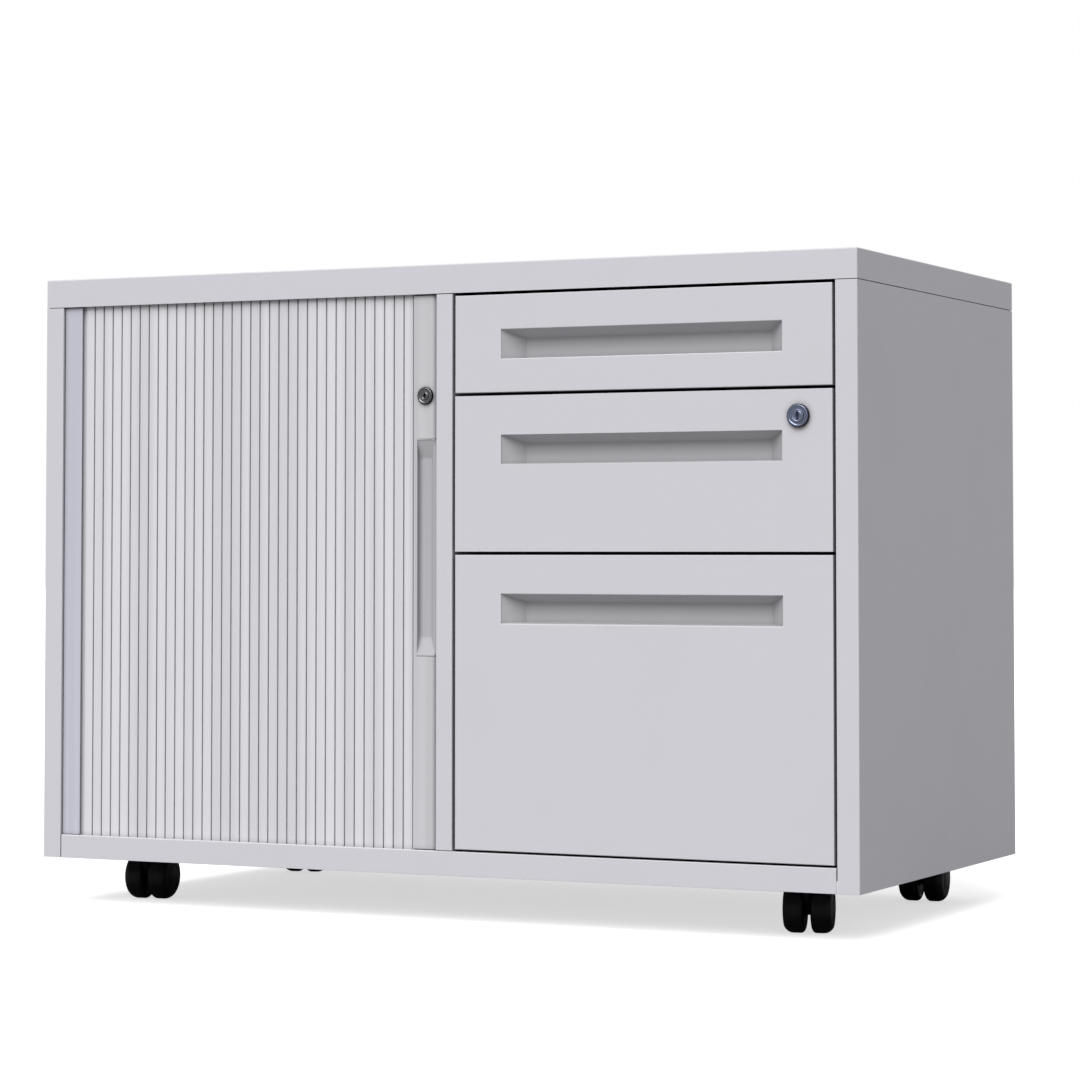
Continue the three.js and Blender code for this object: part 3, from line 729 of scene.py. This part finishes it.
def loft(name: str, loops: Sequence[Sequence[Vector]], capped: bool = True) -> Object:
    """Skins closed loops of the same length, one after the other.

    Args:
        name: the object's name.
        loops: the loops.
        capped: whether the last loop is closed with a face.

    Returns:
        The object.
    """
    mesh = bmesh.new()
    mesh.faces.layers.float.new("edge")
    rings = [[mesh.verts.new(point) for point in loop] for loop in loops]
    for near, far in zip(rings, rings[1:]):
        for i in range(len(near)):
            j = (i + 1) % len(near)
            mesh.faces.new((near[i], near[j], far[j], far[i]))
    if capped:
        mesh.faces.new(rings[-1])
    bmesh.ops.recalc_face_normals(mesh, faces=mesh.faces)
    return link(name, mesh)


def rectangle(x: tuple[float, float], z: tuple[float, float]) -> Outline:
    """The corners of a rectangle between two values of each coordinate, from the lower left one."""
    return [(x[0], z[0]), (x[1], z[0]), (x[1], z[1]), (x[0], z[1])]


def round_rectangle(x: tuple[float, float], z: tuple[float, float], radius: float, steps: int) -> Outline:
    """Points round a rectangle with round corners, the same number for any size.

    Args:
        x: its left and right.
        z: its bottom and top.
        radius: radius of its corners.
        steps: stretches in each corner.

    Returns:
        The points, from the lower left corner round by the lower right.
    """
    centres = ((x[0] + radius, z[0] + radius, 180), (x[1] - radius, z[0] + radius, 270),
               (x[1] - radius, z[1] - radius, 0), (x[0] + radius, z[1] - radius, 90))
    return [p for a, b, start in centres for p in arc((a, b), radius, start, start + 90, steps)]


def soften(piece: Object, radius: float, steps: int = 2) -> Object:
    """Rounds all sharp edges of a piece and evens its shading.

    Args:
        piece: the object.
        radius: the radius.
        steps: faces across each rounding.

    Returns:
        The same object.
    """
    mesh = bmesh.new()
    mesh.from_mesh(piece.data)
    bmesh.ops.remove_doubles(mesh, verts=mesh.verts, dist=0.01 * MM)
    round_edges(mesh, sharp_edges(mesh), radius, steps)
    mesh.to_mesh(piece.data)
    mesh.free()
    return even_shading(piece)


def joined(name: str, pieces: Sequence[Object]) -> Object:
    """Joins several objects' meshes into one object.

    Args:
        name: the new object's name.
        pieces: the objects, which are deleted.

    Returns:
        The joined object.
    """
    mesh = bmesh.new()
    for piece in pieces:
        mesh.from_mesh(piece.data)
        bpy.data.objects.remove(piece)
    return link(name, mesh)


# ------------------------------------------------------------------------------------------------ repeats
class Ranks:
    """A Geometry Nodes tree that lays copies of one shape in rows and files."""

    _tree: bpy.types.NodeTree | None = None

    @classmethod
    def tree(cls) -> bpy.types.NodeTree:
        """Gives the tree, built the first time: randomly turned copies on a line, then rows of them."""
        if cls._tree is not None:
            return cls._tree
        tree = bpy.data.node_groups.new("ranks", "GeometryNodeTree")
        kinds = {"Geometry": "Geometry", "Count": "Int", "Step": "Vector", "Rows": "Int",
                 "Row Step": "Vector", "Turn Axis": "Vector", "Largest Turn": "Float", "Seed": "Int",
                 "Finish": "Material"}
        for label, kind in kinds.items():
            tree.interface.new_socket(label, in_out="INPUT", socket_type=f"NodeSocket{kind}")
        tree.interface.new_socket("Geometry", in_out="OUTPUT", socket_type="NodeSocketGeometry")
        graph = Graph(tree)
        given = graph.add("NodeGroupInput").outputs
        limits = {"3": given["Largest Turn"], "Seed": given["Seed"]}
        angle = graph.add("FunctionNodeRandomValue", limits, data_type="FLOAT").outputs[1]
        turned = {"Axis": given["Turn Axis"], "Angle": angle}
        copies = given["Geometry"]
        turn = {"Rotation": graph.add("FunctionNodeAxisAngleToRotation", turned).outputs[0]}
        for count, step, others in (("Count", "Step", turn), ("Rows", "Row Step", {})):
            places = {"Count": given[count], "Offset": given[step]}
            line = graph.add("GeometryNodeMeshLine", places, mode="OFFSET").outputs[0]
            inputs = {"Points": line, "Instance": copies, **others}
            copies = graph.add("GeometryNodeInstanceOnPoints", inputs).outputs[0]
        solid = graph.add("GeometryNodeRealizeInstances", {"Geometry": copies}).outputs[0]
        inputs = {"Geometry": solid, "Material": given["Finish"]}
        dressed = graph.add("GeometryNodeSetMaterial", inputs).outputs[0]
        graph.add("NodeGroupOutput", {"Geometry": dressed})
        cls._tree = tree
        return tree

    @classmethod
    def lay(cls, shape: Object, start: Vector, values: dict[str, object]) -> Object:
        """Lays copies of a shape and makes them one plain mesh.

        Args:
            shape: the shape, made about the origin.
            start: where the first copy stands.
            values: the tree's inputs by name.

        Returns:
            The shape's object, now holding every copy.
        """
        tree = cls.tree()
        modifier = shape.modifiers.new("ranks", "NODES")
        modifier.node_group = tree
        known = {item.name: item.identifier for item in tree.interface.items_tree if item.in_out == "INPUT"}
        usual = {"Count": 1, "Rows": 1, "Step": (0.0, 0.0, 0.0), "Row Step": (0.0, 0.0, 0.0),
                 "Turn Axis": (0.0, 0.0, 1.0), "Largest Turn": 0.0, "Seed": 7}
        for label, value in (usual | values).items():
            modifier[known[label]] = value
        baked(shape)
        shape.data.transform(Matrix.Translation(start))
        return shape


@dataclass(frozen=True)
class Screw:
    """A small pan-head screw with a cross recess.

    Attributes:
        radius: the head's radius.
        height: the head's height.
        facing: the axis that the head looks along.
    """

    radius: float
    height: float
    facing: Axis

    def make(self, name: str) -> Object:
        """Makes one screw's head about the origin, sunk a little into the surface that it stands on."""
        r, h = self.radius, self.height
        profile = [(0, 0.75 * h), (0.18 * r, 0.75 * h), (0.26 * r, h), (0.6 * r, 0.92 * h),
                   (0.9 * r, 0.6 * h), (r, 0.25 * h), (r, -0.15 * h), (0, -0.15 * h)]
        head = lathe(name, profile, self.facing, 20)
        for long, wide in ((0.5 * r, 0.09 * r), (0.09 * r, 0.5 * r)):
            slot = prism("slot", rectangle((-long, long), (-wide, wide)), Axis.Z, 0.55 * h, 1.5 * h)
            slot.data.transform(upright_to(self.facing))
            cut(head, slot)
        return head

    def lay(self, name: str, start: Vector, body: str, finish: Finish, **values: object) -> Object:
        """Lays screws in ranks, with each cross recess turned its own way.

        Args:
            name: the object's name.
            start: where the first screw stands.
            body: the body that they ride on.
            finish: their finish.
            values: the inputs of Ranks, with _ for a space.

        Returns:
            The screws as one object.
        """
        turn = [0.0, 0.0, 0.0]
        turn[self.facing.value] = 1.0
        inputs = {key.replace("_", " "): value for key, value in values.items()}
        inputs |= {"Turn Axis": tuple(turn), "Largest Turn": 1.5, "Finish": finish.material()}
        screws = Ranks.lay(self.make(name), start, inputs)
        return finish_piece(even_shading(screws), finish, body)


# ------------------------------------------------------------------------------------------------ casing
@dataclass
class Casing:
    """The folded steel casing, its inner walls, shelf and screws.

    Attributes:
        cap_fold: radius of the top cap's folds.
        post_fold: radius of the side panels' corners and of the front rail's top.
        divider_fold: radius of the divider's front edges.
        screw: the screws of the back panel.
    """

    cap_fold: float = 1.3 * MM
    post_fold: float = 1.1 * MM
    divider_fold: float = 0.8 * MM
    screw: Screw = Screw(3.6 * MM, 1.3 * MM, Axis.Y)

    def build(self) -> None:
        """Builds every piece of the casing."""
        self._cap()
        for side in Side:
            self._side(side)
        self._rail_and_inner_walls()
        self._screws()

    def _cap(self) -> None:
        """The lid: wide folds round the top and down the corners."""
        low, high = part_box("top_cap")
        corner = all_of(at_ends(Axis.X, low, high), at_ends(Axis.Y, low, high))
        folds = any_of(on_plane(Axis.Z, high.z), corner)
        softened("top_cap", POWDER_COAT, "root", folds, fold=self.cap_fold)

    def _side(self, side: Side) -> None:
        """A side panel, with wide folds down its front and back corners."""
        node = f"{side.value}_side_panel"
        low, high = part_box(node)
        skin = low.x if side is Side.LEFT else high.x
        corner = all_of(on_plane(Axis.X, skin), at_ends(Axis.Y, low, high))
        softened(node, POWDER_COAT, "root", corner, fold=self.post_fold)

    def _rail_and_inner_walls(self) -> None:
        """The base with its front rail, the divider, the liners, the shelf and the back."""
        low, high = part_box("base_pan")
        rail_top = all_of(on_plane(Axis.Y, low.y), on_plane(Axis.Z, high.z))
        softened("base_pan", POWDER_COAT, "root", rail_top, fold=self.post_fold)
        post = on_plane(Axis.Y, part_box("divider_panel")[0].y)
        softened("divider_panel", POWDER_COAT, "root", post, soft=0.25 * MM, fold=self.divider_fold)
        for node in ("drawer_bay_liner", "tambour_liner", "cupboard_shelf", "back_panel"):
            softened(node, POWDER_COAT, "root")

    def _screws(self) -> None:
        """Screws down the edges and the middle of the back panel."""
        low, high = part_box("back_panel")
        inset, count, rows = 30 * MM, 5, 3
        start = Vector((low.x + inset, high.y, low.z + inset))
        step = (0.0, 0.0, (high.z - low.z - 2 * inset) / (count - 1))
        across = ((high.x - low.x - 2 * inset) / (rows - 1), 0.0, 0.0)
        self.screw.lay("back_panel_screws", start, "root", ZINC, Count=count, Step=step, Rows=rows,
                       Row_Step=across)


# ------------------------------------------------------------------------------------------------ tambour
@dataclass
class Tambour:
    """The sliding tambour: its slats, leading profile, finger pull, tracks and corner strip; its lock is a
    CylinderLock.

    Attributes:
        slats: how many slats the curtain has.
        slat_gap: width of the groove between two slats.
        slat_crown: how far a slat's middle stands out of its edges.
        slat_edge: radius of a slat's edges.
        web_depth: depth of the grooves.
        first_web: width of the web beside the corner strip.
        tuck: how far that web reaches behind the strip.
        last_gap: width of the web beside the leading profile, on top of half a groove.
        back_room: how far the curtain's back stays clear of its node's back.
        profile_round: radius of the leading profile's rounded edge.
        pocket_depth: depth of the finger pull.
        ramp: how far the finger pull's right side slopes in.
        pull_wall: thickness of the finger pull.
    """

    slats: int = 35
    slat_gap: float = 1.15 * MM
    slat_crown: float = 0.35 * MM
    slat_edge: float = 0.8 * MM
    web_depth: float = 2.4 * MM
    first_web: float = 2.6 * MM
    tuck: float = 3 * MM
    last_gap: float = 0.9 * MM
    back_room: float = 0.3 * MM
    profile_round: float = 8 * MM
    pocket_depth: float = 6 * MM
    ramp: float = 6.2 * MM
    pull_wall: float = 0.6 * MM
    body: str = "tambour"

    def build(self) -> None:
        """Builds every piece of the tambour."""
        self._curtain()
        softened("tambour_end_profile", PROFILE_PLASTIC, self.body, soft=0.4 * MM)
        self._finger_pull()
        for node in ("tambour_top_track", "tambour_bottom_track"):
            softened(node, TRACK_PLASTIC, "root")
        softened("tambour_guide_strip", STRIP_PLASTIC, "root")

    def _slat_outline(self, pitch: float, depth: float) -> list[tuple[float, float]]:
        """One slat's section: a crowned face with round edges, and half a web on either side.

        Args:
            pitch: from one slat to the next.
            depth: the curtain's depth.

        Returns:
            The section, from the middle of one groove to the middle of the next, with its face at y = 0.
        """
        half = (pitch - self.slat_gap) / 2
        r, steps = self.slat_edge, 8
        flat = half - r
        across = [flat * (2 * i / steps - 1) for i in range(1, steps)]
        crown = [(x, self.slat_crown * (x / flat) ** 2) for x in across]
        left = arc((-flat, self.slat_crown + r), r, 180, 270, 4)
        right = [(-x, y) for x, y in reversed(left)]
        web = self.web_depth
        front = [(-pitch / 2, web), (-half, web), *left, *crown, *right, (half, web), (pitch / 2, web)]
        back = depth - self.back_room
        return front + [(pitch / 2, back), (-pitch / 2, back)]

    def _curtain(self) -> None:
        """The curtain: one upright slat repeated along the width, which closes up with the joint."""
        low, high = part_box("tambour_curtain")
        pitch = (high.x - low.x - self.first_web - self.last_gap) / self.slats
        slat = prism("tambour_slats", self._slat_outline(pitch, high.y - low.y), Axis.Z, low.z, high.z)
        start = Vector((low.x + self.first_web + pitch / 2, low.y, 0))
        values = {"Count": self.slats, "Step": (pitch, 0.0, 0.0), "Finish": SLAT_PLASTIC.material()}
        slats = Ranks.lay(slat, start, values)
        ends = ((low.x - self.tuck, low.x + self.first_web), (high.x - self.last_gap, high.x))
        depth = (low.y + self.web_depth, high.y - self.back_room)
        webs = [prism("web", rectangle(end, depth), Axis.Z, low.z, high.z) for end in ends]
        curtain = even_shading(joined("tambour_slats", (slats, *webs)))
        finish_piece(curtain, SLAT_PLASTIC, self.body, "tambour_curtain")
        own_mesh(curtain)

    def _bulge(self, x: float) -> float:
        """How far the leading profile's face falls back at x, on its rounded right edge."""
        r = self.profile_round
        lean = x - (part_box("tambour_end_profile")[1].x - r)
        return 0.0 if lean <= 0 else r - math.sqrt(max(0.0, r**2 - lean**2))

    def _finger_pull(self) -> None:
        """The finger pull: a moulded pocket with a soft rim, sloping ends, a right ramp and a left hook."""
        low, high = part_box("tambour_grip")
        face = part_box("tambour_end_profile")[0].y
        rim, slope, deep, hook, lip = 1.1 * MM, 17.5 * MM, self.pocket_depth, 1.9 * MM, 0.45 * MM

        def ring(inset: float, sink: float, share: float, radius: float) -> list[Vector]:
            """One loop: set in from the rim, sunk below the face, part of the way to the floor."""
            left = low.x + inset + (rim - hook) * share
            right = high.x - inset - self.ramp * share
            ends = (low.z + inset + slope * share, high.z - inset - slope * share)
            flat = round_rectangle((left, right), ends, radius, 8)
            rest, floor = 1 - share, face + deep
            return [Vector((x, (face + self._bulge(x) + sink) * rest + floor * share, z)) for x, z in flat]

        loops = [ring(0, 3 * MM, 0, 2.6 * MM), ring(0, 0.1 * MM, 0, 2.6 * MM),
                 ring(0.25 * MM, -0.05 * MM, 0, 2.6 * MM), ring(rim - lip, 0, 0, 3.4 * MM),
                 ring(rim - 0.12 * MM, lip * 0.3, 0, 3.2 * MM), ring(rim, lip, 0, 3.0 * MM)]
        for share in (0.25, 0.5, 0.75, 0.93):
            loops.append(ring(rim, lip * (1 - share), share, (3.0 - 2.1 * share) * MM))
        loops.append(ring(rim + 0.35 * MM, 0, 0.985, 0.9 * MM))
        loops.append(ring(rim + 0.9 * MM, 0, 1.0, 0.8 * MM))
        pull = loft("tambour_finger_pull", loops)
        thick = pull.modifiers.new("thickness", "SOLIDIFY")
        thick.thickness = self.pull_wall
        thick.offset = -1.0
        baked(pull)
        pull.data.shade_smooth()
        pull.data.set_sharp_from_angle(angle=math.radians(40))
        finish_piece(pull, PULL_PLASTIC_AND_SHADE, self.body, "tambour_grip")


# ------------------------------------------------------------------------------------------------ locks
@dataclass
class CylinderLock:
    """A lock cylinder: a turned flange, a plug with its keyway, and a bolt on the plug's tail or none.

    Attributes:
        name: the lock's name in the frame.
        holder: the body that the barrel is on.
        turning: the body that the plug is on.
        flange: thickness of the flange.
        thread: radius of the threaded body behind the flange.
        plug: the plug's radius.
        keyway: the keyway's width and height.
        collar: thickness of the black ring round the flange, which paints the shade on the flange's edge and
            side.
        metal: finish of the flange and the plug.
        bolt: the bolt's half width and thickness, or None.
    """

    name: str
    holder: str
    turning: str
    flange: float
    thread: float
    plug: float
    keyway: tuple[float, float]
    collar: float = 0.7 * MM
    metal: Finish = LOCK_METAL
    bolt: tuple[float, float] | None = None

    def build(self) -> None:
        """Builds the flange and the plug."""
        self._barrel()
        self._plug()

    def _centre(self) -> Vector:
        """The middle of the flange, on the lock's axis and at its face."""
        low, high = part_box(f"{self.name}_barrel")
        return Vector(((low.x + high.x) / 2, low.y, (low.z + high.z) / 2))

    def _barrel(self) -> None:
        """The flange with its dished face, the threaded body behind it, and the black ring round it that
        paints the shade on the flange's edge and side.
        """
        node = f"{self.name}_barrel"
        low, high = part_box(node)
        outer, back, bore = (high.x - low.x) / 2, high.y - low.y, self.plug + 0.12 * MM
        rim, sunk, turn, edge = 0.22 * outer, 0.75 * MM, 0.6 * MM, outer - self.collar
        dish = outer - rim
        profile = [(bore, back), (bore, sunk + 0.25 * MM), (bore + 0.3 * MM, sunk), (dish - 0.6 * MM, sunk),
                   (dish - 0.2 * MM, 0.35 * MM), (dish + 0.15 * MM, 0.05 * MM), (dish + 0.5 * MM, 0),
                   *arc((edge - turn, turn), turn, -90, 0, 6), (edge, self.flange),
                   (self.thread, self.flange)]
        pitch, along, root = 0.9 * MM, self.flange + 1 * MM, self.thread - 0.4 * MM
        while along < back - pitch:
            profile += [(self.thread, along), (root, along + pitch / 2)]
            along += pitch
        profile += [(root, back), (bore, back)]
        inside, corner = edge + 0.05 * MM, 0.25 * MM
        sides = [(inside, self.flange), (inside, 0.7 * MM),
                 *arc((outer - corner, 0.95 * MM), corner, -90, 0, 3), (outer, self.flange)]
        # The second piece is the black ring of painted shade round the flange.
        for label, points, finish, nodes in (("flange", profile, self.metal, (node,)),
                                             ("collar", [*sides, sides[0]], SHADE_RING_BLACK, ())):
            piece = lathe(f"{self.name}_{label}", points, Axis.Y)
            piece.data.transform(Matrix.Translation(self._centre()))
            finish_piece(even_shading(piece), finish, self.holder, *nodes)

    def _plug(self) -> None:
        """The plug, with a rounded face, a ring and a stepped keyway, and its bolt."""
        node = f"{self.name}_plug"
        low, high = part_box(node)
        centre = self._centre()
        r, back = self.plug, high.y - low.y
        ring = 0.22 * MM
        profile = [(0, 0.12 * MM), (0.5 * r, 0.1 * MM), (0.66 * r, 0), (0.72 * r, ring), (0.8 * r, ring),
                   (0.86 * r, 0), (r - 0.35 * MM, 0), (r - 0.1 * MM, 0.1 * MM), (r, 0.35 * MM), (r, back),
                   (0, back)]
        plug = lathe(f"{self.name}_turned_plug", profile, Axis.Y)
        wide, tall = self.keyway
        for x, z, deep in ((wide / 2, tall / 2, 5 * MM), (0.9 * wide, 0.22 * tall, 3 * MM)):
            corners = round_rectangle((-x, x), (-z, z), 0.3 * x, 3)
            cut(plug, prism("keyway", corners, Axis.Y, -1 * MM, deep))
        plug.data.transform(Matrix.Translation((centre.x, low.y, centre.z)))
        if self.bolt:
            half, thick = self.bolt
            sides = round_rectangle((-half, half), (low.z - centre.z, half), 1.2 * MM, 4)
            bolt = soften(prism("bolt", sides, Axis.Y, high.y - thick, high.y), 0.25 * MM)
            bolt.data.transform(Matrix.Translation((centre.x, 0, centre.z)))
            plug = joined(f"{self.name}_plug_and_bolt", (plug, bolt))
        finish_piece(even_shading(plug), self.metal, self.turning, node)


# ------------------------------------------------------------------------------------------------ drawers
@dataclass
class Drawer:
    """One drawer: front, finger pull, tray and slides.

    Attributes:
        number: 1 at the top to 3 at the bottom.
        front_fold: radius of the front's folds.
    """

    number: int
    front_fold: float = 1 * MM

    @property
    def name(self) -> str:
        """The drawer's name in the frame, which is its body's name too."""
        return f"drawer_{self.number}"

    def build(self) -> None:
        """Builds every piece of the drawer."""
        self._front()
        softened(f"{self.name}_grip", GRIP_COAT_PAINTED_SHADE, self.name, soft=0.4 * MM)
        softened(f"{self.name}_tray", POWDER_COAT, self.name)
        for side in Side:
            softened(f"{self.name}_outer_slide_{side.value}", ZINC, "root")
            softened(f"{self.name}_inner_slide_{side.value}", ZINC, self.name)
            if f"{self.name}_middle_slide_{side.value}" in frame["nodes"]:
                softened(f"{self.name}_middle_slide_{side.value}", ZINC, f"{self.name}_middle")

    def _front(self) -> None:
        """The front, with wide folds round its face and round the opening of the finger pull."""
        node = f"{self.name}_front"
        face = on_plane(Axis.Y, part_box(node)[0].y)
        softened(node, POWDER_COAT, self.name, face, soft=0.35 * MM, fold=self.front_fold)


# ------------------------------------------------------------------------------------------------ casters
@dataclass
class Caster:
    """One twin-wheel caster.

    Attributes:
        place: where it stands, such as front_left.
    """

    place: str

    @property
    def body(self) -> str:
        """The swivel's body."""
        return f"caster_{self.place}"

    def build(self) -> None:
        """Builds the plate, the swivel body and both wheels."""
        softened(f"{self.body}_plate", ZINC, "root")
        softened(f"{self.body}_housing", CASTER_NYLON, self.body, soft=0.5 * MM)
        for side in Side:
            self._wheel(side)

    def _axle(self) -> tuple[Vector, Vector]:
        """The axle's middle and direction, from the wheels' joints."""
        joint = next(j for j in frame["joints"] if j["name"] == f"{self.body}_wheel_left_spin")
        return Vector(joint["pos_m"]), Vector(joint["axis"])

    def _wheel(self, side: Side) -> None:
        """A wheel turned from a profile: a crowned tread, a stepped outer face and a recessed hub."""
        node = f"{self.body}_wheel_{side.value}"
        middle, along = self._axle()
        tread, inner, outer, bore = 24 * MM, 3.3 * MM, 25 * MM, 3.2 * MM
        web, groove, wall = inner + 1 * MM, outer - 1.5 * MM, outer - 5 * MM
        small, large = 4.5 * MM, 10 * MM
        profile = [(bore, inner), (8 * MM, inner), (9 * MM, web), (18 * MM, web), (19 * MM, inner),
                   *arc((tread - small, inner + small), small, -90, 0, 8),
                   *arc((tread - large, outer - 10.5 * MM), large, 0, 62, 10), (15 * MM, groove),
                   (12.2 * MM, outer - 0.95 * MM), (11.8 * MM, groove), (10.8 * MM, groove),
                   (10.3 * MM, outer - 0.7 * MM), (7 * MM, outer - 0.25 * MM), (3 * MM, outer), (0, outer),
                   (0, wall), (bore, wall), (bore, inner)]
        sign = -1 if side is Side.LEFT else 1
        wheel = lathe(f"{node}_turned", [(r, sign * a) for r, a in profile], Axis.X, 72)
        turn = Matrix.Rotation(math.atan2(along.y, along.x), 4, "Z")
        wheel.data.transform(Matrix.Translation(middle) @ turn)
        finish_piece(even_shading(wheel), WHEEL_NYLON, node, node)


# ------------------------------------------------------------------------------------------------ studio
@dataclass
class Studio:
    """The floor, the soft lights and the camera.

    Attributes:
        lens: the camera's focal length, in millimetres.
        sensor: the width of its sensor, in millimetres.
        eye: where the camera stands.
        heading: how far the camera turns to the left, in degrees.
        tilt: how far it looks up, in degrees.
        shift: how far the view moves up, as a share of the sensor's width.
        key: the key light's strength.
        key_turn: how far the key light stands to the right of the front, in degrees.
        key_rise: how high it stands, in degrees.
        key_spread: how wide it looks, in degrees.
        room: brightness of the room.
        floor_radius: the floor's radius.
        floor_tones: the palest and the darkest of the floor's colours as the camera sees it.
        floor_bounce: the floor's brightness as the object sees it.
        floor_glow: light that the floor gives to the camera alone, which keeps the shadow pale.
    """

    lens: float = 111.5
    sensor: float = 36.0
    eye: tuple[float, float, float] = (1.53, -3.1557, 0.3651)
    heading: float = 25.71
    tilt: float = 2.6
    shift: float = -0.1308
    key: float = 2.75
    key_turn: float = 4.0
    key_rise: float = 48.0
    key_spread: float = 55.0
    room: float = 0.40
    floor_radius: float = 30.0
    floor_tones: tuple[float, float] = (0.9, 0.86)
    floor_bounce: float = 0.3
    floor_glow: float = 0.62

    def build(self) -> None:
        """Builds the studio."""
        self._camera()
        self._floor()
        self._lights()
        bpy.context.scene.view_settings.view_transform = "Standard"

    def _camera(self) -> None:
        """The camera, at the height of the drawers and to the right of the front."""
        data = bpy.data.cameras.new("camera")
        data.lens = self.lens
        data.sensor_width = self.sensor
        data.shift_y = self.shift
        camera = bpy.data.objects.new("camera", data)
        camera.location = self.eye
        camera.rotation_euler = (math.radians(90 + self.tilt), 0, math.radians(self.heading))
        bpy.context.scene.collection.objects.link(camera)
        bpy.context.scene.camera = camera

    def _floor(self) -> None:
        """A plain pale floor."""
        mesh = bmesh.new()
        bmesh.ops.create_circle(mesh, cap_ends=True, segments=96, radius=self.floor_radius)
        floor = link("floor", mesh)
        material = bpy.data.materials.new("pale_floor")
        material.use_nodes = True
        graph = Graph(material.node_tree)
        shader = material.node_tree.nodes["Principled BSDF"]
        seen = graph.add("ShaderNodeLightPath").outputs["Is Camera Ray"]
        low, light, dark = ((tone, tone, tone, 1.0) for tone in (self.floor_bounce, *self.floor_tones))
        pale = graph.blend(graph.noise(graph.place(), 3.0, 2.0), light, dark)
        values = {"Base Color": graph.blend(seen, low, pale), "Roughness": 0.9, "Specular IOR Level": 0.0,
                  "Emission Color": (1.0, 1.0, 1.0, 1),
                  "Emission Strength": graph.math("MULTIPLY", seen, self.floor_glow)}
        for name, value in values.items():
            graph.feed(shader, name, value)
        floor.data.materials.append(material)

    def _lights(self) -> None:
        """One large soft light, high in front and a little to the right, in an evenly grey room."""
        world = bpy.data.worlds.new("grey_room")
        bpy.context.scene.world = world
        world.use_nodes = True
        world.node_tree.nodes.clear()
        graph = Graph(world.node_tree)
        seen = graph.add("ShaderNodeLightPath").outputs["Is Camera Ray"]
        grey = (self.room, self.room, 1.02 * self.room, 1)
        sky = graph.add("ShaderNodeBackground", {"Color": graph.blend(seen, grey, (1.0, 1.0, 1.0, 1))})
        out = graph.add("ShaderNodeOutputWorld")
        graph.tree.links.new(sky.outputs[0], out.inputs["Surface"])
        data = bpy.data.lights.new("key", "SUN")
        data.energy = self.key
        data.angle = math.radians(self.key_spread)
        light = bpy.data.objects.new("key", data)
        turn, rise = math.radians(self.key_turn), math.radians(self.key_rise)
        aim = Vector((math.sin(turn) * math.cos(rise), -math.cos(turn) * math.cos(rise), math.sin(rise)))
        light.rotation_euler = (-aim).to_track_quat("-Z", "Y").to_euler()
        bpy.context.scene.collection.objects.link(light)


def main() -> None:
    """Builds the caddy's sub-assemblies in order, then the studio."""
    logging.basicConfig(level=logging.INFO, format="%(name)s %(message)s")
    Casing().build()
    Tambour().build()
    CylinderLock("tambour_lock", "tambour", "tambour_lock", 2.7 * MM, 6 * MM, 4 * MM, (1.6 * MM, 5.6 * MM),
                 metal=GREY_METAL, bolt=(3.5 * MM, 2.2 * MM)).build()
    for number in (1, 2, 3):
        Drawer(number).build()
    CylinderLock("drawer_lock", "drawer_2", "drawer_lock", 3.9 * MM, 8.5 * MM, 6 * MM,
                 (2 * MM, 8.4 * MM)).build()
    softened("drawer_lock_cam", ZINC, "drawer_lock")
    softened("lock_bar", ZINC, "lock_bar")
    for place in ("front_left", "front_right", "back_left", "back_right"):
        Caster(place).build()
    Studio().build()


if __name__ == "__main__":
    main()
